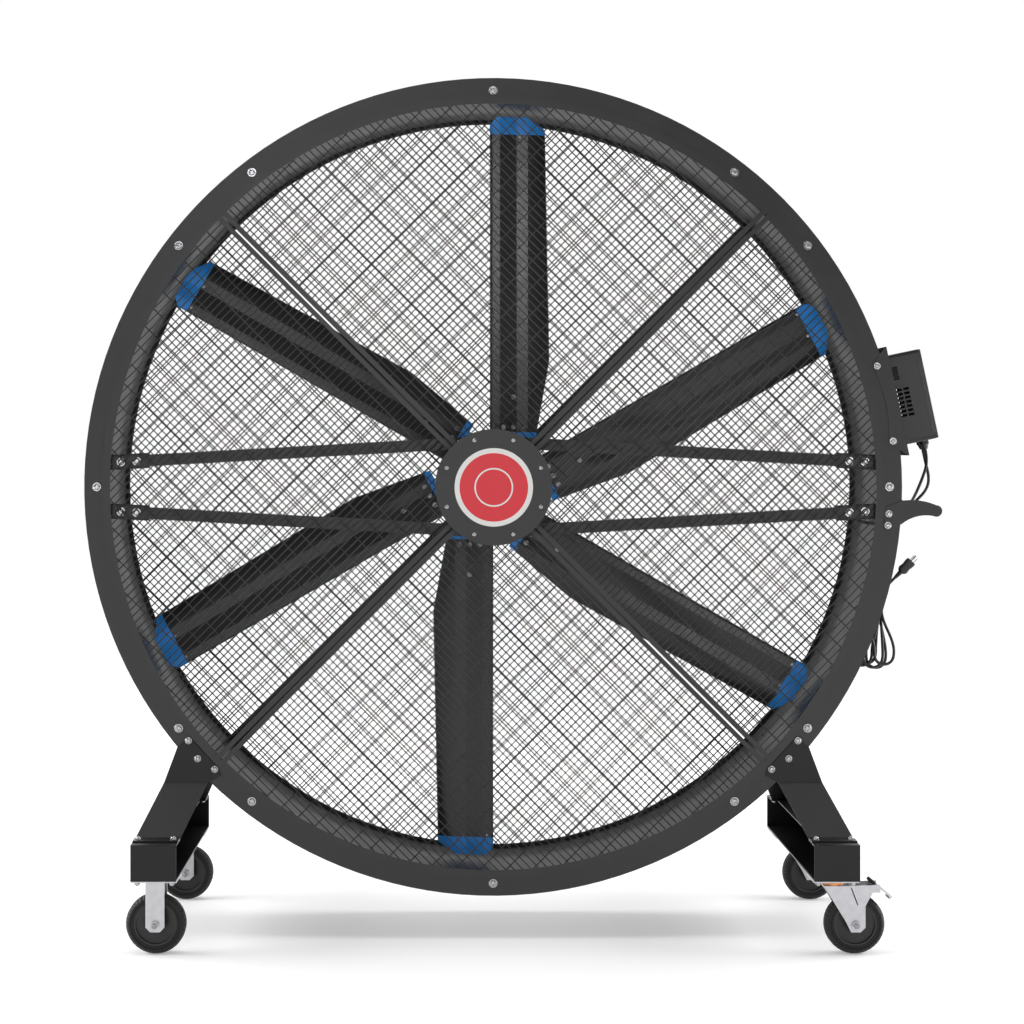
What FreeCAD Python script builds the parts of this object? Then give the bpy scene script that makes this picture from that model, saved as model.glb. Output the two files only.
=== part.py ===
import FreeCAD, Part
import math
import os

# A portable industrial drum fan on casters. Millimetres, +Z up, +X to the right, and the front,
# where the controller's bracket and the hub badge are seen, faces -Y.
# The ring pieces are modelled about the fan's own axis and the base about the fan's middle plane.
# Both are then moved so that the origin is the middle of the footprint, on the floor.

V = FreeCAD.Vector
os.makedirs("parts", exist_ok=True)

# Drum and guard rings
ring_outer_radius = 1065.0
ring_centre_height = 1178.0
drum_depth = 344.0
drum_wall_radius = 1006.0
drum_sheet = 3.0
flange_inset = 3.0
guard_ring_sheet = 3.0
guard_lip_radius = 997.0
guard_crease_radius = 1017.0
guard_bolt_circle_radius = 1032.0
guard_bolt_spread = 7.5

# Wire guard panels and the spider that holds them
wire_diameter = 3.2
dense_pitch = 16.0
sparse_pitch = 48.0
dense_wires_per_cell = 4
panel_rim = 12.0
panel_edge_clearance = 2.0
arm_bar_width = 12.0
arm_bar_depth = 12.0
arm_slit = 6.0
arm_lip_overlap = 7.0
hub_pan_radius = 150.0
hub_pan_sheet = 3.0
hub_pan_depth = 56.6
hub_pan_flange = 32.0
hub_cover_thickness = 3.0
hub_screw_circle_radius = 131.0
hub_screw_count = 8
badge_radius = 101.0
badge_thickness = 1.2

# Motor and the four bars that carry it
motor_bar_width = 31.0
motor_bar_thickness = 6.0
motor_bolt_mesh_gap = 1.0
motor_bar_outer_height = 63.0
motor_bar_inner_height = 116.0
motor_bar_inner_end = 40.0
motor_bar_wall_gap = 8.0
motor_tab_length = 104.0
motor_tab_width = 40.0
motor_tab_thickness = 5.0
motor_bar_bolt_from_wall = 33.0
motor_bar_bolt_spacing = 41.0
motor_plate_radius = 148.0
motor_plate_thickness = 8.0
motor_housing_radius = 120.0
motor_housing_length = 90.0
motor_end_wall = 18.0
motor_side_wall = 12.0
bearing_radius = 31.0
bearing_width = 16.0
shaft_radius = 17.5
magnet_radius = 68.0
running_clearance = 0.05
air_gap = 1.5

# Rotor hub and blades. The straight edge of a blade lies on the front side.
blade_count = 6
first_blade_angle = 30.0
blade_root_radius = 143.0
blade_tip_clearance = 18.0
tip_cap_length = 47.0
root_cap_length = 20.0
blade_chord_tip = 152.0
blade_chord_root = 168.0
blade_edge_offset = 4.5
blade_pitch = 11.5
blade_edge_radius = 7.0
blade_front_shoulder = 11.5
blade_front_recess = 7.6
blade_front_crown = 15.5
blade_rear_crown = 10.0
blade_shoulder_chord = 25.0
blade_recess_chord = 72.0
blade_ridge_chord = 101.0
blade_crown_chord = 127.0
blade_crown_drop = 2.2
blade_lead_radius = 5.6
blade_knee_radius = 378.0
blade_root_chord_kept = 126.0
tip_bevel_inner = 20.0
tip_bevel_outer_across = 51.0
tip_bevel_outer_along = 32.0
rotor_hub_radius = 78.0
rotor_hub_length = 36.0
spar_width = 72.0
spar_thickness = 9.0
spar_clearance = 0.2
spar_inner_end = 56.0
spar_outer_end = 275.0
spar_chord_centre = 62.0
blade_bolt_radius = 4.0
blade_bolt_head_radius = 6.5
blade_bolt_head_height = 7.0
blade_bolt_row_radius = 157.0
blade_bolt_row_spacing = 28.0
blade_bolt_outer_radius = 238.0

# Base: foot beams and risers
foot_centre_offset = 857.5
foot_width = 115.0
foot_height = 92.0
foot_length = 766.0
foot_sheet = 4.0
foot_lip_setback = 16.0
riser_sheet = 4.0
riser_foot_distance = 303.0
riser_foot_flange = 44.0
riser_lean = 58.0
riser_chord_angle = 42.6
riser_chord_length = 115.4
riser_shoulder = 42.0
riser_toe_reach = 33.0
riser_toe_rise = 18.0
riser_bolt_spread = 2.8
riser_middle_bolt_step = 13.0
riser_foot_bolt_spacing = 88.0

# Fasteners
bolt_radius = 5.0
bolt_hole_clearance = 0.4
bolt_washer_radius = 11.5
bolt_washer_thickness = 2.5
bolt_head_radius = 8.5
bolt_head_height = 5.5
riser_bolt_head_radius = 7.2
riser_bolt_flange_radius = 8.3
bracket_bolt_head_radius = 5.8
bracket_bolt_flange_radius = 6.6
bolt_nut_radius = 9.0
bolt_nut_height = 8.0
screw_radius = 3.0
screw_head_radius = 5.5
screw_head_height = 3.0

# Casters
caster_height = 192.0
caster_spacing = 640.0
caster_plate_length = 114.0
caster_plate_width = 102.0
caster_plate_thickness = 5.0
wheel_radius = 76.0
wheel_width = 45.0
rim_radius = 54.0
rim_groove = 2.0
axle_radius = 8.0
axle_nut_radius = 11.0
axle_nut_height = 8.0
fork_sheet = 4.0
fork_wheel_gap = 3.0
fork_leg_width = 48.0
fork_tip_below_axle = 18.0
fork_slot_width = 3.0
fork_slot_depth = 48.0
fork_slot_lean = 18.0
swivel_trail = 53.0
bearing_ring_radius = 27.5
bearing_ring_height = 12.0
kingpin_radius = 10.0
kingpin_head_radius = 16.0
kingpin_head_height = 6.0
swivel_gap = 0.3
brake_pivot_from_axle = 52.0
brake_pivot_above_axle = 92.0
brake_pin_radius = 5.0
brake_pedal_width = 42.0
brake_pedal_length = 46.0
brake_pedal_thickness = 5.0
brake_pedal_slope = 40.0
brake_shoe_width = 5.0
brake_shoe_gap = 0.6

# Controller beside the ring
controller_angle = 12.0
bracket_sheet = 3.0
bracket_ring_gap = 9.0
bracket_ear_overlap = 34.0
bracket_inner_length = 209.0
bracket_outer_length = 289.0
bracket_bolt_spacing = 200.0
bracket_bolt_inset = 12.0
bracket_ear_arch = 14.0
housing_length = 239.0
housing_width = 150.0
housing_height = 108.0
housing_wall = 3.0
vent_slot_length = 15.0
vent_slot_gap = 4.0
vent_from_bracket = 22.0
upper_vent_height = 70.0
upper_vent_columns = 2
upper_vent_rows = 6
upper_vent_pitch = 6.0
lower_vent_height = -9.5
lower_vent_columns = 3
lower_vent_rows = 7
lower_vent_pitch = 11.5
vent_open_share = 0.62
keypad_length = 170.0
keypad_width = 116.0
keypad_thickness = 2.0
knob_radius = 10.5
knob_height = 6.0
knob_shaft_radius = 3.0
knob_seat = 92.0
button_radius = 9.0
button_height = 4.0
button_travel = 1.5
button_seat = -20.0
gland_radius = 13.0
gland_length = 26.0
gland_nose_radius = 7.0
gland_height = 80.0
gland_spacing = 30.0

# Push handle
handle_sheet = 4.0
handle_bolt_height = 85.0
handle_bolt_spacing = 30.0
handle_reach = 88.6
handle_grip_height = 62.7
handle_tip_radius = 15.0
handle_neck_reach = 48.0
handle_top_height = 36.0
handle_neck_depth = 39.0
grip_radius = 14.0

# Cords
motor_cable_radius = 4.0
mains_radius = 4.0
grommet_clearance = 0.3
hook_rod_radius = 5.0
hook_height = -309.0
hook_reach = 1024.0
hook_length = 92.0
hook_start = -18.0
hook_lip = 26.0
hank_loops = 5
hank_pitch = 10.6
hank_top_radius = 26.0
hank_run = 128.0
hank_right_spread = [1.0, -1.0, 2.0, 0.0, 1.0]
hank_left_spread = [0.0, 2.0, -1.0, 1.0, 0.0]
hank_extra_run = [0.0, 9.0, 5.0, 12.0, 2.0]
hank_fan = [30.0, 4.0, -26.0, 16.0, -10.0]
plug_length = 40.0
plug_width = 27.0
plug_thickness = 20.0
plug_neck_length = 22.0
plug_angle = 45.0
plug_neck_root = 1.0
plug_neck_end = 3.0
blade_pin_length = 17.0
blade_pin_spacing = 12.7
blade_pin_width = 6.0
blade_pin_thickness = 1.5
ground_pin_offset = 6.0
ground_pin_extra = 4.0
ground_pin_radius = 2.4

# Worked-out places shared by several pieces
half_depth = drum_depth / 2
flange_radius = ring_outer_radius - flange_inset
drum_outer_radius = drum_wall_radius + drum_sheet
ring_face = half_depth + guard_ring_sheet
mesh_thickness = 2 * wire_diameter
mesh_face = half_depth + mesh_thickness
lip_face = mesh_face + guard_ring_sheet
cover_seat = mesh_face + hub_pan_depth
cover_face = cover_seat + hub_cover_thickness
bar_front = half_depth - motor_bolt_mesh_gap - bolt_head_height - bolt_washer_thickness
bar_back = bar_front - motor_bar_thickness
tab_back = bar_back - motor_tab_thickness
motor_plate_back = bar_back - motor_plate_thickness
motor_back = motor_plate_back - motor_housing_length
blade_tip_radius = drum_wall_radius - blade_tip_clearance
blade_end_radius = blade_tip_radius - tip_cap_length
foot_bottom = caster_height
foot_top = foot_bottom + foot_height
foot_half_length = foot_length / 2
axle_height = wheel_radius
bolt_hole_radius = bolt_radius + bolt_hole_clearance
bracket_seat = ring_outer_radius + bracket_ring_gap + bracket_sheet
housing_face = bracket_seat + housing_height
tilt = math.radians(controller_angle)
right_reach = housing_face * math.cos(tilt) + housing_length / 2 * math.sin(tilt)
ring_x = (ring_outer_radius - right_reach) / 2


def save(node, solids):
    shape = solids[0] if len(solids) == 1 else Part.makeCompound(solids)
    for solid in solids:
        if not solid.isValid() or len(solid.Solids) != 1:
            print("check", node, solid.isValid(), len(solid.Solids))
    shape.exportStep("parts/" + node + ".step")


def moved(shape, x=0.0, y=0.0, z=0.0):
    copy = shape.copy()
    copy.translate(V(x, y, z))
    return copy


def on_ring(solids):
    return [moved(solid, ring_x, 0, ring_centre_height) for solid in solids]


def on_base(solids):
    return [moved(solid, ring_x) for solid in solids]


def turned(shape, degrees):
    """Turn about the fan's axis, counter-clockwise as seen from the front."""
    copy = shape.copy()
    copy.rotate(V(0, 0, 0), V(0, -1, 0), degrees)
    return copy


def flipped(shape, normal):
    return shape.mirror(V(0, 0, 0), normal)


def to_rear(shape):
    return flipped(shape, V(0, 1, 0))


def to_right(shape):
    return flipped(shape, V(1, 0, 0))


def polar(radius, degrees):
    angle = math.radians(degrees)
    return radius * math.cos(angle), radius * math.sin(angle)


def face_of(points):
    return Part.Face(Part.makePolygon(points + [points[0]]))


def prism_y(corners, y_low, y_high):
    points = [V(x, y_low, z) for x, z in corners]
    return face_of(points).extrude(V(0, y_high - y_low, 0))


def box(x_low, x_high, y_low, y_high, z_low, z_high):
    return Part.makeBox(x_high - x_low, y_high - y_low, z_high - z_low, V(x_low, y_low, z_low))


def cylinder_y(radius, y_low, y_high, x=0.0, z=0.0):
    return Part.makeCylinder(radius, y_high - y_low, V(x, y_low, z), V(0, 1, 0))


def cylinder_z(radius, z_low, z_high, x=0.0, y=0.0):
    return Part.makeCylinder(radius, z_high - z_low, V(x, y, z_low), V(0, 0, 1))


def revolved(profile):
    points = [V(radius, y, 0) for radius, y in profile]
    return face_of(points).revolve(V(0, 0, 0), V(0, 1, 0), 360)


def bolt(x, z, seat, grip, head_radius, flange_radius):
    """A bolt along Y with its nut. The flange or washer below its head sits on the face at Y = -seat."""
    top = -seat - bolt_washer_thickness
    profile = [
        (0, top - bolt_head_height),
        (head_radius, top - bolt_head_height),
        (head_radius, top),
        (flange_radius, top),
        (flange_radius, -seat),
        (bolt_radius, -seat),
        (bolt_radius, -seat + grip),
        (bolt_nut_radius, -seat + grip),
        (bolt_nut_radius, -seat + grip + bolt_nut_height),
        (0, -seat + grip + bolt_nut_height),
    ]
    return moved(revolved(profile), x, 0, z)


def washer_bolt(x, z, seat, grip):
    return bolt(x, z, seat, grip, bolt_head_radius, bolt_washer_radius)


def flange_bolt(x, z, seat, grip):
    return bolt(x, z, seat, grip, riser_bolt_head_radius, riser_bolt_flange_radius)


def bolt_holes(places, y_low, y_high, radius=bolt_hole_radius):
    return Part.makeCompound([cylinder_y(radius, y_low, y_high, x, z) for x, z in places])


# Places of the bolts on the ring

def guard_bolt_places():
    angles = []
    for quarter in range(4):
        diagonal = 45.0 + 90.0 * quarter
        angles += [90.0 * quarter, diagonal - guard_bolt_spread, diagonal + guard_bolt_spread]
    return [polar(guard_bolt_circle_radius, angle) for angle in angles]


def riser_bolt_places():
    """The three bolts of the left riser, on the ring."""
    radii = [0.0, riser_middle_bolt_step, 0.0]
    places = []
    for step, extra in zip((-1, 0, 1), radii):
        angle = 180.0 + riser_chord_angle + step * riser_bolt_spread
        places.append(polar(guard_bolt_circle_radius + extra, angle))
    return places


def handle_bolt_places():
    places = []
    for side in (-0.5, 0.5):
        z = -handle_bolt_height + side * handle_bolt_spacing
        places.append((math.sqrt(guard_bolt_circle_radius ** 2 - z ** 2), z))
    return places


def bracket_bolt_places():
    radial = ring_outer_radius - bracket_ear_overlap + bracket_bolt_inset
    places = []
    for side in (-0.5, 0.5):
        along = side * bracket_bolt_spacing
        angle = controller_angle + math.degrees(math.atan2(along, radial))
        places.append(polar(math.hypot(radial, along), angle))
    return places


def mirrored_places(places):
    return places + [(-x, z) for x, z in places]


def attached_bolt_places():
    return mirrored_places(riser_bolt_places()) + handle_bolt_places() + bracket_bolt_places()


# Drum, rings and guards

def motor_bar_line(x):
    """Height of a motor bar's centre line above the fan's axis, at a distance x from it."""
    outer = wall_reach(motor_bar_outer_height)
    share = (x - motor_bar_inner_end) / (outer - motor_bar_inner_end)
    return motor_bar_inner_height + share * (motor_bar_outer_height - motor_bar_inner_height)


def wall_reach(height):
    return math.sqrt(drum_wall_radius ** 2 - height ** 2)


def four_ways(shape):
    left = to_right(shape)
    return [shape, left, flipped(shape, V(0, 0, 1)), flipped(left, V(0, 0, 1))]


def tab_bolt_places():
    outer = wall_reach(motor_bar_outer_height) - motor_bar_bolt_from_wall
    reaches = [outer, outer - motor_bar_bolt_spacing]
    return [(x, motor_bar_line(x)) for x in reaches]


def motor_tab():
    """A flat tab welded edge-on to the drum's wall, behind the outer end of a motor bar."""
    outer = wall_reach(motor_bar_outer_height + motor_tab_width)
    inner = outer - motor_tab_length
    z_outer = motor_bar_line(outer)
    z_inner = motor_bar_line(inner)
    half = motor_tab_width / 2
    rise = z_inner - z_outer
    root = outer + motor_tab_width / 4
    corners = [
        (root, z_outer - half),
        (root, z_outer + half),
        (inner, z_outer + rise + half),
        (inner, z_outer + rise - half),
    ]
    tab = prism_y(corners, -bar_back, -tab_back)
    tab = tab.common(cylinder_y(drum_wall_radius + drum_sheet / 2, -half_depth, half_depth))
    return tab.cut(bolt_holes(tab_bolt_places(), -half_depth, half_depth))


def hook_rod(start, end):
    return Part.makeCylinder(hook_rod_radius, (end - start).Length, start, end - start)


def cord_hook():
    """A bent rod from the drum's outer wall, along which the hank's loops hang."""
    wall = math.sqrt(drum_outer_radius ** 2 - hook_height ** 2) - drum_sheet / 2
    corners = [
        V(wall, hook_start, hook_height),
        V(hook_reach, hook_start, hook_height),
        V(hook_reach, hook_start + hook_length, hook_height),
        V(hook_reach, hook_start + hook_length, hook_height + hook_lip),
    ]
    rods = [hook_rod(start, end) for start, end in zip(corners, corners[1:])]
    elbows = [Part.makeSphere(hook_rod_radius, corner) for corner in corners[1:3]]
    return rods[0].multiFuse(rods[1:] + elbows)


def cable_hole():
    """Where the motor cable passes through the drum's wall."""
    x, y, z = motor_cable_route()[-4]
    return Part.makeCylinder(motor_cable_radius + grommet_clearance, 4 * motor_tab_width,
                             V(x + 2 * motor_tab_width, y, z), V(-1, 0, 0))


def make_drum():
    profile = [
        (drum_wall_radius, -half_depth),
        (flange_radius, -half_depth),
        (flange_radius, -half_depth + drum_sheet),
        (drum_outer_radius, -half_depth + drum_sheet),
        (drum_outer_radius, half_depth - drum_sheet),
        (flange_radius, half_depth - drum_sheet),
        (flange_radius, half_depth),
        (drum_wall_radius, half_depth),
    ]
    drum = revolved(profile).multiFuse(four_ways(motor_tab()) + [cord_hook()])
    places = guard_bolt_places() + attached_bolt_places()
    drum = drum.cut(bolt_holes(places, -ring_face, ring_face))
    return drum.cut(cable_hole())


def make_guard_ring():
    crease = guard_crease_radius + guard_ring_sheet
    profile = [
        (guard_lip_radius, -mesh_face),
        (guard_crease_radius, -mesh_face),
        (guard_crease_radius, -half_depth),
        (ring_outer_radius, -half_depth),
        (ring_outer_radius, -ring_face),
        (crease, -ring_face),
        (crease, -lip_face),
        (guard_lip_radius, -lip_face),
    ]
    places = guard_bolt_places() + attached_bolt_places()
    return revolved(profile).cut(bolt_holes(places, -ring_face, -half_depth))


def quarter_outline(edge, inner, outer):
    """A quarter of a ring between two radii, its straight sides set back from the axes by edge."""
    near = math.sqrt(inner ** 2 - edge ** 2)
    far = math.sqrt(outer ** 2 - edge ** 2)
    middle = math.sqrt(0.5)
    sides = [
        Part.makeLine(V(edge, 0, near), V(edge, 0, far)),
        Part.Arc(V(edge, 0, far), V(outer * middle, 0, outer * middle), V(far, 0, edge)).toShape(),
        Part.makeLine(V(far, 0, edge), V(near, 0, edge)),
        Part.Arc(V(near, 0, edge), V(inner * middle, 0, inner * middle), V(edge, 0, near)).toShape(),
    ]
    return Part.Wire(sides)


def net_cells(edge, inner, outer):
    """Outlines of a net's gaps, cut off along the quarter's inset border."""
    border = Part.Face(quarter_outline(edge, inner, outer))
    wide = dense_wires_per_cell * dense_pitch
    smallest = (2 * wire_diameter) ** 2
    cells = []
    for column in range(int(outer / wide) + 1):
        for row in range(int(outer / sparse_pitch) + 1):
            x_low = edge + column * wide
            z_low = edge + row * sparse_pitch
            x_high = x_low + wide - wire_diameter
            z_high = z_low + sparse_pitch - wire_diameter
            if math.hypot(x_low, z_low) > outer or math.hypot(x_high, z_high) < inner:
                continue
            corners = [V(x_low, 0, z_low), V(x_high, 0, z_low), V(x_high, 0, z_high), V(x_low, 0, z_high)]
            cell = face_of(corners)
            if math.hypot(x_low, z_low) < inner or math.hypot(x_high, z_high) > outer:
                pieces = cell.common(border).Faces
            else:
                pieces = [cell]
            cells += [piece.OuterWire for piece in pieces if piece.Area > smallest]
    return cells


def make_panel():
    """One quarter of the front wire guard, between the axes. It is turned into place later."""
    edge = arm_slit / 2
    inner = hub_pan_radius - hub_pan_sheet - panel_rim
    outer = guard_crease_radius - panel_edge_clearance
    cells = net_cells(edge + panel_rim, inner + 2 * panel_rim, outer - panel_rim)
    face = Part.makeFace([quarter_outline(edge, inner, outer)] + cells, "Part::FaceMakerBullseye")
    print("net gaps in a panel", len(cells))
    return moved(face.extrude(V(0, mesh_thickness, 0)), 0, -mesh_face, 0)


def make_spider():
    """The guard's centre pan with its four double arms, one welded piece."""
    back = -mesh_face
    front = -cover_seat
    inside = hub_pan_radius - hub_pan_sheet
    flange = hub_pan_radius - hub_pan_flange
    pan = revolved([
        (hub_pan_radius, back),
        (inside, back),
        (inside, front + hub_pan_sheet),
        (flange, front + hub_pan_sheet),
        (flange, front),
        (hub_pan_radius, front),
    ])
    arm_front = -mesh_face - arm_bar_depth
    z_low = arm_slit / 2
    z_high = z_low + arm_bar_width
    lip = guard_lip_radius - panel_edge_clearance
    root = inside + hub_pan_sheet / 2
    bar = box(root, lip, arm_front, back, z_low, z_high)
    bar = bar.fuse(box(lip, guard_lip_radius + arm_lip_overlap, arm_front, -lip_face, z_low, z_high))
    bars = []
    for quarter in range(4):
        for side in (bar, flipped(bar, V(0, 0, 1))):
            bars.append(turned(side, 45.0 + 90.0 * quarter))
    spider = pan.multiFuse(bars)
    return spider.cut(bolt_holes(hub_screw_places(), -cover_face, -mesh_face, screw_radius))


def hub_screw_places():
    step = 360.0 / hub_screw_count
    return [polar(hub_screw_circle_radius, step * (index + 0.5)) for index in range(hub_screw_count)]


def make_hub_cover():
    disc = cylinder_y(hub_pan_radius, -cover_face, -cover_seat)
    return disc.cut(bolt_holes(hub_screw_places(), -cover_face, -cover_seat, screw_radius))


def hub_screw(x, z):
    length = hub_cover_thickness + hub_pan_sheet
    head = cylinder_y(screw_head_radius, -cover_face - screw_head_height, -cover_face, x, z)
    return head.fuse(cylinder_y(screw_radius, -cover_face, -cover_face + length, x, z))


def make_guards():
    ring = make_guard_ring()
    panel = make_panel()
    panels = [turned(panel, 45.0 + 90.0 * quarter) for quarter in range(4)]
    spider = make_spider()
    cover = make_hub_cover()
    save("front_guard_ring", on_ring([ring]))
    save("rear_guard_ring", on_ring([to_rear(ring)]))
    save("front_guard_panels", on_ring(panels))
    rear_panels = []
    for panel in panels:
        copy = panel.copy()
        copy.rotate(V(0, 0, 0), V(0, 0, 1), 180)
        rear_panels.append(copy)
    save("rear_guard_panels", on_ring(rear_panels))
    save("front_guard_spider", on_ring([spider]))
    save("rear_guard_spider", on_ring([to_rear(spider)]))
    save("front_hub_cover", on_ring([cover]))
    save("rear_hub_cover", on_ring([to_rear(cover)]))
    save("hub_badge", on_ring([cylinder_y(badge_radius, -cover_face - badge_thickness, -cover_face)]))
    grip = guard_ring_sheet + drum_sheet
    bolts = [washer_bolt(x, z, ring_face, grip) for x, z in guard_bolt_places()]
    bolts += [hub_screw(x, z) for x, z in hub_screw_places()]
    save("guard_bolts", on_ring(bolts + [to_rear(piece) for piece in bolts]))


# Motor

def plate_bolt_places():
    reach = [motor_bar_inner_end + bolt_washer_radius + 2 * bolt_hole_clearance]
    reach.append(reach[0] + motor_bar_width)
    return [(x, motor_bar_line(x)) for x in reach]


def make_motor_bar():
    outer = wall_reach(motor_bar_outer_height + motor_bar_width) - motor_bar_wall_gap
    half = motor_bar_width / 2
    z_outer = motor_bar_line(outer)
    z_inner = motor_bar_line(motor_bar_inner_end)
    corners = [
        (motor_bar_inner_end, z_inner - half),
        (outer, z_outer - half),
        (outer, z_outer + half),
        (motor_bar_inner_end, z_inner + half),
    ]
    bar = prism_y(corners, -bar_front, -bar_back)
    return bar.cut(bolt_holes(plate_bolt_places() + tab_bolt_places(), -bar_front, -bar_back))


def make_motor():
    plate = cylinder_y(motor_plate_radius, -bar_back, -motor_plate_back)
    for x, z in plate_bolt_places():
        holes = cylinder_y(bolt_hole_radius, -bar_back, -motor_plate_back, x, z)
        plate = plate.cut(Part.makeCompound(four_ways(holes)))
    clear = motor_housing_radius + bolt_nut_radius
    front = -motor_plate_back
    back = -motor_back
    cavity = motor_housing_radius - motor_side_wall
    housing = cylinder_y(motor_housing_radius, front, back)
    housing = housing.cut(cylinder_y(cavity, front + motor_end_wall, back - motor_end_wall))
    housing = housing.cut(cylinder_y(bearing_radius, front, back))
    for x, z in plate_bolt_places():
        if math.hypot(x, z) < clear:
            pocket = bolt_nut_radius + bolt_hole_clearance
            pockets = cylinder_y(pocket, front, front + bolt_nut_height + bolt_hole_clearance, x, z)
            housing = housing.cut(Part.makeCompound(four_ways(pockets)))
    save("motor_plate", on_ring([plate]))
    save("motor_bars", on_ring(four_ways(make_motor_bar())))
    save("motor_housing", on_ring([housing]))
    stator_low = front + motor_end_wall
    stator_high = back - motor_end_wall
    bore = magnet_radius + air_gap
    stator = cylinder_y(cavity, stator_low, stator_high).cut(cylinder_y(bore, stator_low, stator_high))
    save("motor_stator", on_ring([stator]))
    ring_bore = shaft_radius + running_clearance
    bearings = []
    for low in (front, back - bearing_width):
        ring = cylinder_y(bearing_radius, low, low + bearing_width)
        bearings.append(ring.cut(cylinder_y(ring_bore, low, low + bearing_width)))
    save("motor_bearings", on_ring(bearings))
    shaft = cylinder_y(shaft_radius, front + air_gap, rotor_hub_length / 2)
    magnets = cylinder_y(magnet_radius, stator_low + air_gap, stator_high - air_gap)
    save("rotor_shaft", on_ring([shaft.fuse(magnets)]))


# Rotor hub and blades, made for the blade that points straight up

def section_point(chord, normal):
    """A point of a blade's section: chord runs from the straight edge, normal towards the front."""
    pitch = math.radians(blade_pitch)
    x = -blade_edge_offset + chord * math.cos(pitch) + normal * math.sin(pitch)
    y = (chord - blade_chord_tip / 2) * math.sin(pitch) - normal * math.cos(pitch)
    return x, y


def blade_section(chord, height):
    """The blade's outer outline at a height: a shoulder, a shallow recess and a ridge, with rounded edges."""
    edge = blade_edge_radius

    def point(along, normal):
        x, y = section_point(along, normal)
        return V(x, y, height)

    start = point(edge, edge)
    lead = blade_lead_radius
    shoulder = point(blade_shoulder_chord, blade_front_shoulder)
    recess_end = point(blade_recess_chord, blade_front_recess)
    ridge = point(blade_ridge_chord, blade_front_crown)
    crown = point(blade_crown_chord, blade_front_crown - blade_crown_drop)
    lead_front = point(chord - lead, lead)
    lead_rear = point(chord - lead, -lead)
    rear_start = point(edge, -edge)
    edges = [
        Part.makeLine(start, shoulder),
        Part.makeLine(shoulder, recess_end),
        Part.makeLine(recess_end, ridge),
        Part.Arc(ridge, crown, lead_front).toShape(),
        Part.Arc(lead_front, point(chord, 0), lead_rear).toShape(),
        Part.Arc(lead_rear, point(chord / 2, -blade_rear_crown), rear_start).toShape(),
        Part.Arc(rear_start, point(0, 0), start).toShape(),
    ]
    return Part.Wire(edges)


def pitched_box(chord_low, chord_high, thickness, z_low, z_high):
    """A flat bar lying in the blade's own pitched plane."""
    corners = []
    for chord, normal in ((chord_low, -1), (chord_high, -1), (chord_high, 1), (chord_low, 1)):
        x, y = section_point(chord, normal * thickness / 2)
        corners.append(V(x, y, z_low))
    return face_of(corners).extrude(V(0, 0, z_high - z_low))


def root_trim():
    """What the slanting cut takes off the leading side, between the knee and the root."""
    slope = (blade_chord_root - blade_root_chord_kept) / (blade_knee_radius - blade_root_radius)
    low = blade_root_radius - 2 * root_cap_length
    kept = blade_root_chord_kept - 2 * root_cap_length * slope
    wide = 2 * blade_chord_root
    corners = [
        (kept - blade_edge_offset, low),
        (blade_chord_root - blade_edge_offset, blade_knee_radius),
        (wide, blade_knee_radius),
        (wide, low),
    ]
    return prism_y(corners, -wide, wide)


def tip_trims():
    """The two bevels at the tip: a short one at the straight edge and a long one at the other."""
    top = blade_tip_radius
    inner = -blade_edge_offset
    outer = blade_chord_tip * math.cos(math.radians(blade_pitch)) - blade_edge_offset
    wide = 2 * blade_chord_root
    far = 2 * tip_cap_length
    short = prism_y([(inner - far, top - tip_bevel_inner - far), (inner + tip_bevel_inner + far, top + far),
                     (inner - far, top + far)], -wide, wide)
    lean = tip_bevel_outer_along / tip_bevel_outer_across
    long = prism_y([(outer - tip_bevel_outer_across - far, top + far * lean),
                    (outer + far, top - tip_bevel_outer_along - far * lean),
                    (outer + far, top + 2 * far)], -wide, wide)
    return [short, long]


def blade_bolt_places():
    """Chord and height of each bolt that holds a blade on its spar."""
    row = [(spar_chord_centre + step * blade_bolt_row_spacing, blade_bolt_row_radius) for step in (-1, 0, 1)]
    return row + [(spar_chord_centre, blade_bolt_outer_radius)]


def blade_bolt_axis(chord, height, radius, normal_low, normal_high):
    x_low, y_low = section_point(chord, normal_low)
    x_high, y_high = section_point(chord, normal_high)
    start = V(x_low, y_low, height)
    along = V(x_high - x_low, y_high - y_low, 0)
    return Part.makeCylinder(radius, along.Length, start, along)


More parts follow.
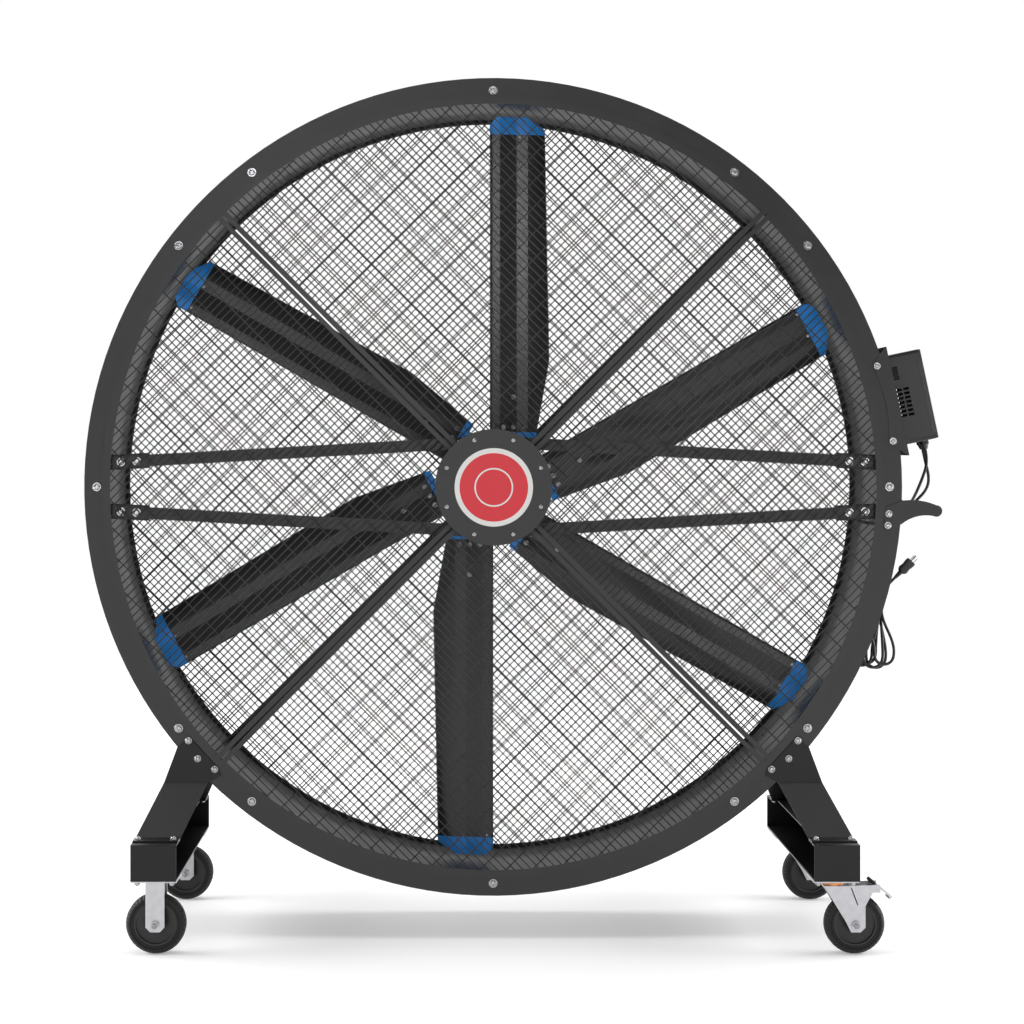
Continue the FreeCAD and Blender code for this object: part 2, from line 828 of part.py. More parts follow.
def make_rotor():
    root_end = blade_root_radius - root_cap_length
    half_channel = spar_thickness / 2 + spar_clearance
    channel_low = spar_chord_centre - spar_width / 2 - spar_clearance
    channel_high = spar_chord_centre + spar_width / 2 + spar_clearance
    sections = [blade_section(blade_chord_root, blade_root_radius),
                blade_section(blade_chord_tip, blade_end_radius)]
    blade = Part.makeLoft(sections, True, True)
    channel = pitched_box(channel_low, channel_high, 2 * half_channel, root_end, blade_end_radius)
    trim = root_trim()
    blade = blade.cut(trim).cut(channel)
    root = Part.Face(blade_section(blade_chord_root, root_end)).extrude(V(0, 0, root_cap_length))
    root = root.cut(trim).cut(channel)
    tip = Part.Face(blade_section(blade_chord_tip, blade_end_radius)).extrude(V(0, 0, tip_cap_length))
    for bevel in tip_trims():
        tip = tip.cut(bevel)
    spar_low = spar_chord_centre - spar_width / 2
    spar_high = spar_chord_centre + spar_width / 2
    spar = pitched_box(spar_low, spar_high, spar_thickness, spar_inner_end, spar_outer_end)
    seat = blade_front_recess + spar_clearance
    deep = -blade_rear_crown - blade_bolt_head_radius
    high = blade_front_crown + blade_bolt_head_radius
    bolts = []
    for chord, height in blade_bolt_places():
        hole = blade_bolt_axis(chord, height, blade_bolt_radius + spar_clearance, deep, high)
        recess = blade_bolt_axis(chord, height, blade_bolt_head_radius + spar_clearance, seat, high)
        blade = blade.cut(hole).cut(recess)
        spar = spar.cut(hole)
        head = blade_bolt_axis(chord, height, blade_bolt_head_radius, seat, seat + blade_bolt_head_height)
        shank = blade_bolt_axis(chord, height, blade_bolt_radius, -half_channel, seat)
        bolts.append(head.fuse(shank))
    hub = cylinder_y(rotor_hub_radius, -rotor_hub_length / 2, rotor_hub_length / 2)
    step = 360.0 / blade_count
    turns = [first_blade_angle - 90.0 + step * index for index in range(blade_count)]
    hub = hub.multiFuse([turned(spar, angle) for angle in turns])
    hub = hub.cut(cylinder_y(shaft_radius, -rotor_hub_length, rotor_hub_length))
    save("rotor_hub", on_ring([hub]))
    caps = []
    all_bolts = []
    for index, angle in enumerate(turns):
        save("blade_" + str(index + 1), on_ring([turned(blade, angle)]))
        caps += [turned(tip, angle), turned(root, angle)]
        all_bolts += [turned(piece, angle) for piece in bolts]
    save("blade_caps", on_ring(caps))
    save("blade_bolts", on_ring(all_bolts))


# Base

def make_foot():
    """The left foot beam: a channel open towards the middle, closed by its end plates."""
    x_low = -foot_centre_offset - foot_width / 2
    x_high = x_low + foot_width
    end = foot_half_length
    beam = box(x_low, x_high, -end, end, foot_bottom, foot_top)
    inside = box(x_low + foot_sheet, x_high + foot_sheet, -end + foot_sheet, end - foot_sheet,
                 foot_bottom + foot_sheet, foot_top - foot_sheet)
    beam = beam.cut(inside)
    middle = riser_foot_distance - 2 * foot_sheet
    beam = beam.cut(box(x_high - foot_lip_setback, x_high, -middle, middle, foot_top - foot_sheet, foot_top))
    for x, y in foot_bolt_places():
        for side in (-1, 1):
            beam = beam.cut(cylinder_z(bolt_hole_radius, foot_bottom + 2 * foot_sheet, foot_top, x, side * y))
    return beam


def foot_bolt_places():
    y = riser_foot_distance + riser_foot_flange / 2
    half = riser_foot_bolt_spacing / 2
    return [(-foot_centre_offset - half, y), (-foot_centre_offset + half, y)]


def make_riser():
    """The front left riser: a flange on the beam, a slanting panel and a plate on the guard ring."""
    x_low = -foot_centre_offset - foot_width / 2
    x_high = x_low + foot_width
    plate_front = ring_face + riser_sheet
    bend = foot_top + riser_foot_distance - plate_front
    thick = riser_sheet * math.sqrt(2)
    foot_flange = box(x_low, x_high, -riser_foot_distance - riser_foot_flange, -riser_foot_distance + thick,
                      foot_top, foot_top + riser_sheet)

    def level(x_start, y_start, height):
        corners = [V(x_start, y_start, height), V(x_start + foot_width, y_start, height),
                   V(x_start + foot_width, y_start + thick, height), V(x_start, y_start + thick, height)]
        return Part.makePolygon(corners + [corners[0]])

    panel = Part.makeLoft([level(x_low, -riser_foot_distance, foot_top),
                           level(x_low + riser_lean, -plate_front, bend)], True, True)
    distance = guard_crease_radius + guard_ring_sheet + panel_edge_clearance
    angle = 180.0 + riser_chord_angle
    middle = V(*polar(distance, angle), 0)
    along = V(*polar(riser_chord_length / 2, angle - 90.0), 0)
    out = V(*polar(riser_shoulder, angle), 0)
    base = bend - ring_centre_height
    toe_x = x_high + riser_lean + riser_toe_reach
    corners = [
        (x_low + riser_lean, base),
        (x_high + riser_lean, base),
        (toe_x, base + riser_toe_rise),
        ((middle - along).x, (middle - along).y),
        ((middle + along).x, (middle + along).y),
        ((middle + along + out).x, (middle + along + out).y),
    ]
    plate = prism_y(corners, -plate_front, -ring_face)
    plate = plate.cut(bolt_holes(riser_bolt_places(), -plate_front, -ring_face))
    riser = foot_flange.multiFuse([panel, moved(plate, 0, 0, ring_centre_height)])
    for x, y in foot_bolt_places():
        riser = riser.cut(cylinder_z(bolt_hole_radius, foot_top, foot_top + riser_sheet, x, -y))
    return riser.removeSplitter()


def foot_bolt(x, y):
    grip = riser_sheet + foot_sheet
    upright = flange_bolt(0, 0, 0, grip)
    upright.rotate(V(0, 0, 0), V(1, 0, 0), -90)
    return moved(upright, x, y, foot_top + riser_sheet)


def make_base():
    foot = make_foot()
    riser = make_riser()
    risers = [riser, to_rear(riser)]
    save("left_foot_beam", on_base([foot]))
    save("right_foot_beam", on_base([to_right(foot)]))
    save("left_risers", on_base(risers))
    save("right_risers", on_base([to_right(piece) for piece in risers]))
    grip = guard_ring_sheet + drum_sheet
    ring_bolts = []
    for x, z in mirrored_places(riser_bolt_places()):
        ring_bolts.append(flange_bolt(x, z, ring_face + riser_sheet, grip + riser_sheet))
    for x, z in handle_bolt_places():
        ring_bolts.append(flange_bolt(x, z, ring_face + handle_sheet, grip + handle_sheet))
    for x, z in bracket_bolt_places():
        ring_bolts.append(bolt(x, z, ring_face + bracket_sheet, grip + bracket_sheet,
                               bracket_bolt_head_radius, bracket_bolt_flange_radius))
    bolts = on_ring(ring_bolts + [to_rear(piece) for piece in ring_bolts])
    for x, z in tab_bolt_places():
        bolts += on_ring(four_ways(washer_bolt(x, z, bar_front, bar_front - tab_back)))
    for x, z in plate_bolt_places():
        bolts += on_ring(four_ways(washer_bolt(x, z, bar_front, bar_front - motor_plate_back)))
    for x, y in foot_bolt_places():
        for side in (-1, 1):
            upright = foot_bolt(x, side * y)
            bolts += on_base([upright, to_right(upright)])
    save("frame_bolts", bolts)


# Casters, each about its own plate's centre, with the wheel's axle along Y

def caster_plate():
    half_x = caster_plate_length / 2
    half_y = caster_plate_width / 2
    low = caster_height - caster_plate_thickness
    return box(-half_x, half_x, -half_y, half_y, low, caster_height)


def fork_inside():
    return wheel_width / 2 + fork_wheel_gap


def two_legs(corners, holes):
    """The same outline cut from sheet on both sides of the wheel, with holes given as x, z, radius."""
    inside = fork_inside()
    leg = prism_y(corners, inside, inside + fork_sheet)
    for x, z, radius in holes:
        leg = leg.cut(cylinder_y(radius, inside, inside + fork_sheet, x, z))
    return [leg, to_rear(leg)]


def axle(x):
    outside = fork_inside() + fork_sheet
    pin = cylinder_y(axle_radius, -outside, outside, x, axle_height)
    nut = cylinder_y(axle_nut_radius, outside, outside + axle_nut_height, x, axle_height)
    return pin.multiFuse([nut, to_rear(nut)])


def rigid_fork():
    half = fork_leg_width / 2
    top = caster_height - caster_plate_thickness
    tip = axle_height - fork_tip_below_axle
    corners = [(-half, top), (half, top), (half, tip + half / 2), (half / 2, tip),
               (-half / 2, tip), (-half, tip + half / 2)]
    legs = two_legs(corners, [(0, axle_height, axle_radius)])
    return caster_plate().multiFuse(legs)


def swivel_yoke_top():
    return caster_height - caster_plate_thickness - bearing_ring_height - swivel_gap


def swivel_plate():
    """The fixed plate of a swivel caster with its kingpin."""
    top = swivel_yoke_top()
    low = top - fork_sheet - swivel_gap
    pin = cylinder_z(kingpin_radius - running_clearance, low, caster_height)
    head = cylinder_z(kingpin_head_radius, low - kingpin_head_height, low)
    return caster_plate().multiFuse([pin, head])


def bearing_ring():
    low = swivel_yoke_top() + swivel_gap
    high = caster_height - caster_plate_thickness
    ring = cylinder_z(bearing_ring_radius, low, high)
    return ring.cut(cylinder_z(kingpin_radius, low, high))


def brake_pivot():
    return swivel_trail + brake_pivot_from_axle, axle_height + brake_pivot_above_axle


def swivel_fork():
    """The turning fork: a yoke plate, two slanting legs and the two ears of the brake's pivot."""
    top = swivel_yoke_top()
    half = fork_leg_width / 2
    tip = axle_height - fork_tip_below_axle
    pivot_x, pivot_z = brake_pivot()
    ear = 2 * brake_pin_radius
    corners = [
        (-bearing_ring_radius, top),
        (swivel_trail - half / 4, top),
        (pivot_x + ear, pivot_z + ear),
        (pivot_x + ear, pivot_z - ear),
        (pivot_x - ear, pivot_z - ear),
        (swivel_trail + half, axle_height + 2 * half),
        (swivel_trail + half, axle_height - half / 4),
        (swivel_trail + half / 2, tip),
        (swivel_trail - half / 2, tip),
        (swivel_trail - half, axle_height + half / 4),
    ]
    holes = [(swivel_trail, axle_height, axle_radius),
             (pivot_x, pivot_z, brake_pin_radius + running_clearance)]
    slot_x = swivel_trail - half / 2
    slot = [
        (slot_x - fork_slot_width, top),
        (slot_x, top),
        (slot_x + fork_slot_lean, top - fork_slot_depth),
        (slot_x + fork_slot_lean - fork_slot_width, top - fork_slot_depth),
    ]
    outside = fork_inside() + fork_sheet
    legs = [leg.cut(prism_y(slot, -outside, outside)) for leg in two_legs(corners, holes)]
    yoke = box(-bearing_ring_radius, swivel_trail - half / 4, -outside, outside, top - fork_sheet, top)
    yoke = yoke.cut(cylinder_z(kingpin_radius, top - fork_sheet, top))
    return yoke.multiFuse(legs)


def brake_pedal():
    """A sloping pedal on a pin between the fork's ears, with a shoe that points at the tyre."""
    pivot_x, pivot_z = brake_pivot()
    outside = fork_inside() + fork_sheet
    half = brake_pedal_width / 2
    pin = cylinder_y(brake_pin_radius, -outside, outside, pivot_x, pivot_z)
    boss = cylinder_y(2 * brake_pin_radius, -half, half, pivot_x, pivot_z)
    plate = box(pivot_x, pivot_x + brake_pedal_length, -half, half,
                pivot_z + brake_pin_radius, pivot_z + brake_pin_radius + brake_pedal_thickness)
    lip = box(pivot_x + brake_pedal_length - brake_pedal_thickness, pivot_x + brake_pedal_length, -half, half,
              pivot_z + brake_pin_radius - brake_pedal_thickness, pivot_z + brake_pin_radius)
    plate = plate.fuse(lip)
    plate.rotate(V(pivot_x, 0, pivot_z), V(0, 1, 0), brake_pedal_slope)
    reach = math.hypot(brake_pivot_from_axle, brake_pivot_above_axle) - wheel_radius - brake_shoe_gap
    shoe = box(pivot_x, pivot_x + reach, -half / 2, half / 2,
               pivot_z - brake_shoe_width / 2, pivot_z + brake_shoe_width / 2)
    towards = 180.0 - math.degrees(math.atan2(brake_pivot_above_axle, brake_pivot_from_axle))
    shoe.rotate(V(pivot_x, 0, pivot_z), V(0, 1, 0), towards)
    return pin.multiFuse([boss, plate, shoe])


def wheel_rim(x):
    half = wheel_width / 2 - rim_groove
    rim = cylinder_y(rim_radius, -half, half)
    dish = revolved([
        (2 * axle_radius + rim_groove, -half - rim_groove),
        (2 * axle_radius + rim_groove, -half / 4),
        (rim_radius - 2 * rim_groove, -half / 2),
        (rim_radius - 2 * rim_groove, -half - rim_groove),
    ])
    boss_end = fork_inside() - swivel_gap
    boss = cylinder_y(2 * axle_radius, -boss_end, boss_end)
    rim = rim.cut(dish).cut(to_rear(dish)).fuse(boss)
    rim = rim.cut(cylinder_y(axle_radius + running_clearance, -boss_end, boss_end))
    return moved(rim, x, 0, axle_height)


def tyre(x):
    half = wheel_width / 2
    crown = half / 2
    profile = [
        (rim_radius, -half + rim_groove),
        (rim_radius, half - rim_groove),
        (rim_radius + rim_groove, half),
        (wheel_radius - 2 * crown / 3, half),
        (wheel_radius, half - crown),
        (wheel_radius, -half + crown),
        (wheel_radius - 2 * crown / 3, -half),
        (rim_radius + rim_groove, -half),
    ]
    return moved(revolved(profile), x, 0, axle_height)


def make_casters():
    plates = []
    rings = []
    for name, side in (("front", -0.5), ("rear", 0.5)):
        y = side * caster_spacing
        left = -foot_centre_offset
        right = foot_centre_offset

        def put(solids, x):
            return on_base([moved(solid, x, y) for solid in solids])

        save(name + "_rigid_fork", put([rigid_fork(), axle(0)], left))
        save(name + "_left_wheel", put([wheel_rim(0)], left))
        save(name + "_left_tyre", put([tyre(0)], left))
        plates += put([swivel_plate()], right)
        rings += put([bearing_ring()], right)
        save(name + "_swivel_fork", put([swivel_fork(), axle(swivel_trail)], right))
        save(name + "_right_wheel", put([wheel_rim(swivel_trail)], right))
        save(name + "_right_tyre", put([tyre(swivel_trail)], right))
        save(name + "_brake_pedal", put([brake_pedal()], right))
    save("swivel_caster_plates", plates)
    save("caster_bearing_rings", rings)


# Controller, made on the +X side of the ring and turned up to its place

def on_controller(solids):
    return on_ring([turned(solid, controller_angle) for solid in solids])


def bracket_ear():
    inner = ring_outer_radius - bracket_ear_overlap
    corners = [
        (inner, -bracket_inner_length / 2),
        (bracket_seat, -bracket_outer_length / 2),
        (bracket_seat, bracket_outer_length / 2),
        (inner, bracket_inner_length / 2),
    ]
    front = -ring_face - bracket_sheet
    points = [V(x, front, z) for x, z in corners]
    arch = Part.Arc(points[3], V(inner + bracket_ear_arch, front, 0), points[0]).toShape()
    sides = [Part.makeLine(start, end) for start, end in zip(points, points[1:])]
    ear = Part.Face(Part.Wire(sides + [arch])).extrude(V(0, bracket_sheet, 0))
    radial = inner + bracket_bolt_inset
    places = [(radial, side * bracket_bolt_spacing) for side in (-0.5, 0.5)]
    return ear.cut(bolt_holes(places, front, -ring_face))


def vent_block(height, columns, rows, pitch):
    """Slots through both broad sides of the housing, in rows and columns."""
    half_y = housing_width / 2
    tall = pitch * vent_open_share
    slots = []
    for column in range(columns):
        for row in range(rows):
            x = bracket_seat + vent_from_bracket + (column - 0.5) * (vent_slot_length + vent_slot_gap)
            z = height + (row - (rows - 1) / 2) * pitch
            slots.append(box(x - vent_slot_length / 2, x + vent_slot_length / 2, -half_y, half_y,
                             z - tall / 2, z + tall / 2))
    return slots


def make_housing():
    half_y = housing_width / 2
    half_z = housing_length / 2
    shell = box(bracket_seat, housing_face, -half_y, half_y, -half_z, half_z)
    inside = box(bracket_seat, housing_face - housing_wall, -half_y + housing_wall, half_y - housing_wall,
                 -half_z + housing_wall, half_z - housing_wall)
    shell = shell.cut(inside)
    slots = vent_block(upper_vent_height, upper_vent_columns, upper_vent_rows, upper_vent_pitch)
    slots += vent_block(lower_vent_height, lower_vent_columns, lower_vent_rows, lower_vent_pitch)
    shell = shell.cut(Part.makeCompound(slots))
    holes = [gland_axis(side, gland_nose_radius, -half_z, -half_z + housing_wall) for side in (-0.5, 0.5)]
    face = housing_face + keypad_thickness
    wall = housing_face - housing_wall
    holes.append(radial_cylinder(knob_shaft_radius + running_clearance, wall, face, knob_seat))
    holes.append(radial_cylinder(button_stem_radius(), wall, face, button_seat))
    return shell.cut(Part.makeCompound(holes))


def button_stem_radius():
    return button_radius / 2 + running_clearance


def gland_axis(side, radius, z_low, z_high):
    return cylinder_z(radius, z_low, z_high, bracket_seat + gland_height, side * gland_spacing)


def radial_cylinder(radius, x_low, x_high, z):
    return Part.makeCylinder(radius, x_high - x_low, V(x_low, 0, z), V(1, 0, 0))


def cable_gland(side):
    """A nut and a tapered nose below the housing, with a neck through its wall."""
    top = -housing_length / 2
    low = top - gland_length
    nut = gland_axis(side, gland_radius, top - gland_length / 2, top)
    x = bracket_seat + gland_height
    nose = Part.makeCone(gland_nose_radius, gland_radius - housing_wall / 2, gland_length / 2,
                         V(x, side * gland_spacing, low), V(0, 0, 1))
    neck = gland_axis(side, gland_nose_radius - running_clearance, top, top + housing_wall)
    return nut.multiFuse([nose, neck])


def make_controller():
    half = bracket_outer_length / 2
    deep = ring_face + bracket_sheet
    ear = bracket_ear()
    back = box(bracket_seat - bracket_sheet, bracket_seat, -deep, deep, -half, half)
    save("controller_bracket", on_controller([back.multiFuse([ear, to_rear(ear)]).removeSplitter()]))
    save("controller_housing", on_controller([make_housing()]))
    face = housing_face + keypad_thickness
    keypad = box(housing_face, face, -keypad_width / 2, keypad_width / 2, -keypad_length / 2,
                 keypad_length / 2 + (housing_length - keypad_length) / 4)
    knob_hole = radial_cylinder(knob_shaft_radius + running_clearance, housing_face, face, knob_seat)
    button_hole = radial_cylinder(button_stem_radius(), housing_face, face, button_seat)
    save("keypad_panel", on_controller([keypad.cut(knob_hole).cut(button_hole)]))
    knob = radial_cylinder(knob_radius, face + swivel_gap, face + swivel_gap + knob_height, knob_seat)
    mark = box(face + swivel_gap + knob_height, face + 2 * swivel_gap + knob_height, -swivel_gap, swivel_gap,
               knob_seat + knob_radius / 2, knob_seat + knob_radius - swivel_gap)
    wall = housing_face - housing_wall
    stem = radial_cylinder(knob_shaft_radius, wall, face + swivel_gap, knob_seat)
    save("speed_knob", on_controller([knob.multiFuse([stem, mark])]))
    low = face + button_travel + swivel_gap
    button = radial_cylinder(button_radius, low, low + button_height, button_seat)
    stem = radial_cylinder(button_stem_radius() - running_clearance, wall, low, button_seat)
    save("start_button", on_controller([button.fuse(stem)]))
    glands = [cable_gland(side) for side in (-0.5, 0.5)]
    save("cable_glands", on_controller(glands))


def make_handle():
    """Two horn-shaped plates on the rings and a round grip between them."""
    root = math.sqrt(guard_bolt_circle_radius ** 2 - handle_bolt_height ** 2)
    low = -handle_bolt_height - handle_bolt_spacing
    tip_x = ring_outer_radius + handle_reach
    neck_x = ring_outer_radius + handle_neck_reach
    ring_edge = math.sqrt(ring_outer_radius ** 2 - handle_top_height ** 2)
    inset = handle_bolt_spacing / 3
    y_low = -ring_face - handle_sheet
    corners = [
        V(ring_edge, y_low, -handle_top_height),
        V(root - inset, y_low, -handle_bolt_height + handle_bolt_spacing),
        V(root - inset, y_low, low + inset),
        V(root, y_low, low),
        V(ring_edge, y_low, -handle_top_height - 2 * handle_bolt_spacing),
    ]
    low_neck = V(neck_x, y_low, -handle_top_height - handle_neck_depth)
    low_tip = V(tip_x, y_low, -handle_grip_height - handle_tip_radius)
    high_tip = V(tip_x, y_low, -handle_grip_height + handle_tip_radius)
    high_neck = V(neck_x, y_low, -handle_top_height)
    sides = [Part.makeLine(start, end) for start, end in zip(corners, corners[1:])]
    sides.append(Part.Arc(corners[-1], low_neck, low_tip).toShape())
    sides.append(Part.makeLine(low_tip, high_tip))
    sides.append(Part.Arc(high_tip, high_neck, corners[0]).toShape())
    horn = Part.Face(Part.Wire(sides)).extrude(V(0, handle_sheet, 0))
    horn = horn.fuse(cylinder_y(handle_tip_radius, y_low, -ring_face, tip_x, -handle_grip_height))
    horn = horn.cut(bolt_holes(handle_bolt_places(), y_low, -ring_face)).removeSplitter()
    grip = cylinder_y(grip_radius, -ring_face, ring_face, tip_x, -handle_grip_height)
    save("push_handle", on_ring([horn.multiFuse([grip, to_rear(horn)])]))


# Cords. A route is a list of points chosen by hand, about the fan's axis.

def gland_mouth(side):
    low = V(bracket_seat + gland_height, side * gland_spacing, -housing_length / 2 - gland_length)
    turn = FreeCAD.Rotation(V(0, -1, 0), controller_angle)
    return turn.multVec(low)


def gland_down():
    turn = FreeCAD.Rotation(V(0, -1, 0), controller_angle)
    return turn.multVec(V(0, 0, -1))


def motor_cable_route():
    start = gland_mouth(-0.5)
    first = start + gland_down() * 34
    bar_back_y = -tab_back + motor_cable_radius + 1
    return [
        tuple(start),
        tuple(first),
        (1146, -50, 18),
        (1112, -85, -40),
        (1072, -125, -78),
        (1030, bar_back_y, -96),
        (975, bar_back_y, -96),
        (930, bar_back_y, -80),
        (870, bar_back_y, -73),
    ]


def mains_route():
    start = gland_mouth(0.5)
    first = start + gland_down() * 32
    end = hank_start()
    return [
        tuple(start),
        tuple(first),
        (1180, 14, 20),
        (1172, 12, -12),
        (1144, 8, -40),
        (1108, 4, -74),
        (1072, 0, -122),
        (1042, 0, -180),
        (1014, end.y, -232),
        (end.x, end.y, end.z + 40),
        tuple(end),
    ]


def tail_route():
    start = hank_end()
    end = plug_start()
    return [
        tuple(start),
        (start.x, start.y, start.z + 20),
        (start.x + 9, start.y, start.z + 38),
        tuple(end - plug_direction() * 22),
        tuple(end),
    ]


def rounded_route(points):
    """Straight runs joined by tangent arcs, each as large as its two runs allow."""
    points = [V(*point) for point in points]
    edges = []
    radii = []
    last = points[0]
    for before, corner, after in zip(points, points[1:], points[2:]):
        back = before - corner
        ahead = after - corner
        reach = 0.45 * min(back.Length, ahead.Length)
        turn = math.pi - back.getAngle(ahead)
        radii.append(reach / math.tan(turn / 2))
        back.normalize()
        ahead.normalize()
        start = corner + back * reach
        end = corner + ahead * reach
        inward = back + ahead
        inward.normalize()
        centre_distance = math.hypot(reach, radii[-1])
        middle = corner + inward * (centre_distance - radii[-1])
        edges.append(Part.makeLine(last, start))
        edges.append(Part.Arc(start, middle, end).toShape())
        last = end
    edges.append(Part.makeLine(last, points[-1]))
    return Part.Wire(edges), radii


def swept(path, radius):
    first = path.Edges[0]
    start = first.valueAt(first.FirstParameter)
    along = first.tangentAt(first.FirstParameter)
    ring = Part.Wire(Part.makeCircle(radius, start, along))
    return path.makePipeShell([ring], True, False)


def cord(node, points, radius):
    path, radii = rounded_route(points)
    solid = swept(path, radius)
    expected = math.pi * radius ** 2 * path.Length
    print(node, "length", round(path.Length), "volume share", round(solid.Volume / expected, 4))
    print(node, "radii", [round(value) for value in radii])
    save(node, on_ring([solid]))


def s_bend(start, end):
    """Two equal arcs that leave start and reach end straight up or down."""
    middle = (start + end) * 0.5
    down = V(0, 0, end.z - start.z)
    down.normalize()
    half = (middle - start).Length
    lean = (middle - start).getAngle(down)
    bulge = half / 2 * math.tan(lean / 2)
    across = (middle - start) - down * ((middle - start).dot(down))
    across.normalize()
    chord = middle - start
    chord.normalize()
    side = across * math.cos(lean) - down * math.sin(lean)
    first = start + chord * (half / 2) - side * bulge
    second = middle + chord * (half / 2) + side * bulge
    return [Part.Arc(start, first, middle).toShape(), Part.Arc(middle, second, end).toShape()]


def hank_top():
    return hook_height + hook_rod_radius + swivel_gap + mains_radius - hank_top_radius


def hank_start():
    return V(hook_reach - hank_top_radius, hook_start + hook_rod_radius + hank_pitch, hank_top())


def hank_end():
    return hank_start() + V(2 * hank_top_radius, hank_loops * hank_pitch, 0)


def hank_path():
    """The hank's loops in one unbroken line, hanging side by side along the hook."""
    left = hank_start()
    top = left.z
    edges = []
    for loop in range(hank_loops):
        bottom = top - hank_run - hank_extra_run[loop]
        right = left + V(2 * hank_top_radius, hank_pitch, 0)
        low_left = V(left.x - hank_left_spread[loop] + hank_fan[loop], left.y, bottom)
        low_right = V(right.x + hank_right_spread[loop] + hank_fan[loop], left.y, bottom)
        radius = (low_right.x - low_left.x) / 2
        lowest = V((low_right.x + low_left.x) / 2, left.y, bottom - radius)
        edges += s_bend(left, low_left)
        edges.append(Part.Arc(low_left, lowest, low_right).toShape())
        edges += s_bend(low_right, right)
        left = left + V(0, hank_pitch, 0)
        if loop < hank_loops - 1:
            highest = V(hook_reach, right.y, top + hank_top_radius)
            edges.append(Part.Arc(right, highest, left).toShape())
    return Part.Wire(edges)


def least_gap(path, radius):
    """Smallest space between two turns of a wound tube, measured on points along its line."""
    spacing = radius
    points = path.discretize(Distance=spacing)
    skip = int(math.pi * hank_top_radius / spacing)
    nearest = min(
        (points[i] - points[j]).Length
        for i in range(len(points))
        for j in range(i + skip, len(points))
    )
    return nearest - 2 * radius


def make_hank():
    path = hank_path()
    solid = swept(path, mains_radius)
    expected = math.pi * mains_radius ** 2 * path.Length
    print("cord_hank length", round(path.Length), "volume share", round(solid.Volume / expected, 4))
    print("cord_hank least gap", round(least_gap(path, mains_radius), 2))
    save("cord_hank", on_ring([solid]))


def plug_direction():
    angle = math.radians(plug_angle)
    return V(math.cos(angle), 0, math.sin(angle))


def plug_start():
    return hank_end() + V(46, 0, 76)


def make_plug():
    """A three-pin plug with a tapered neck, built along X and turned up to its slope."""
    neck = Part.makeCone(mains_radius + plug_neck_root, mains_radius + plug_neck_end, plug_neck_length,
                         V(0, 0, 0), V(1, 0, 0))
    end = plug_neck_length + plug_length
    half_thick = plug_thickness / 2
    body = box(plug_neck_length, end, -half_thick, half_thick, -plug_width / 2, plug_width / 2)
    edges = [edge for edge in body.Edges if abs(edge.tangentAt(edge.FirstParameter).x) > 0.9]
    body = body.makeFillet(plug_thickness / 4, edges)
    pins = []
    half_pin = blade_pin_thickness / 2
    for side in (-0.5, 0.5):
        z = side * blade_pin_spacing
        pins.append(box(end, end + blade_pin_length, -blade_pin_width, 0, z - half_pin, z + half_pin))
    pins.append(Part.makeCylinder(ground_pin_radius, blade_pin_length + ground_pin_extra,
                                  V(end, ground_pin_offset, 0), V(1, 0, 0)))
    plug = neck.multiFuse([body] + pins)
    plug.rotate(V(0, 0, 0), V(0, -1, 0), plug_angle)
    start = plug_start()
    return moved(plug, start.x, start.y, start.z)


def make_cords():
    cord("motor_cable", motor_cable_route(), motor_cable_radius)
    cord("mains_lead", mains_route(), mains_radius)
    make_hank()
    cord("mains_tail", tail_route(), mains_radius)
    save("plug", on_ring([make_plug()]))


save("drum", on_ring([make_drum()]))
make_guards()
make_motor()
make_rotor()
make_base()
make_casters()
make_controller()
make_handle()
make_cords()
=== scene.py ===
import math

import bmesh
import bpy
from mathutils import Matrix, Vector


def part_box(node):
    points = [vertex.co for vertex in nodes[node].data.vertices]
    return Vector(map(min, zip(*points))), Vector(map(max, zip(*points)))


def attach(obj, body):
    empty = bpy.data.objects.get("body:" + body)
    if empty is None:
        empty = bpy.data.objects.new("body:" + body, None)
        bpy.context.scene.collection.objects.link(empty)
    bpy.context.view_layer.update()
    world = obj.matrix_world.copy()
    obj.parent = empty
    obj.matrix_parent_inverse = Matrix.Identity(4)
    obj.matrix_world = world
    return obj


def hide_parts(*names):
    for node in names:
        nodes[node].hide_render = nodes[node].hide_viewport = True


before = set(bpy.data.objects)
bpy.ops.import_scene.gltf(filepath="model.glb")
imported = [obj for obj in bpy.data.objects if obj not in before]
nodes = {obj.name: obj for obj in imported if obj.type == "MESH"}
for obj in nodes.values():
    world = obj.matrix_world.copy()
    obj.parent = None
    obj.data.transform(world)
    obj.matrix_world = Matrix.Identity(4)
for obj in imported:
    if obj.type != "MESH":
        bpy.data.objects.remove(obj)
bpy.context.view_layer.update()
scene = bpy.context.scene

# Sizes shared with the solids, in metres
ring_x = -0.059475
ring_z = 1.178
drum_half_depth = 0.172
wire_radius = 0.0016
dense_pitch = 0.016
sparse_pitch = 0.048
wire_edge = 0.009
wire_inner_radius = 0.136
wire_outer_radius = 1.014
blade_pitch = math.radians(11.5)
blade_edge_offset = 0.0045
blade_chord_tip = 0.152
blade_count = 6
controller_tilt = math.radians(12.0)
gland_radial = 1.157
gland_side = 0.015
gland_end = 0.1455
mains_radius = 0.004
motor_cable_radius = 0.004
hook_reach = 1.024
hank_y = -0.0024
hank_top_z = -0.3257
hank_top_radius = 0.026
hank_pitch = 0.0106
hank_run = 0.128
hank_right_spread = [0.001, -0.001, 0.002, 0.0, 0.001]
hank_left_spread = [0.0, 0.002, -0.001, 0.001, 0.0]
hank_extra_run = [0.0, 0.009, 0.005, 0.012, 0.002]
hank_fan = [0.030, 0.004, -0.026, 0.016, -0.010]
plug_from_hank = (0.046, 0, 0.076)
plug_angle = math.radians(45)
plug_neck_length = 0.022
plug_length = 0.040
plug_width = 0.027
plug_thickness = 0.020
pin_length = 0.017
pin_spacing = 0.0127
pin_width = 0.006
pin_thickness = 0.0015
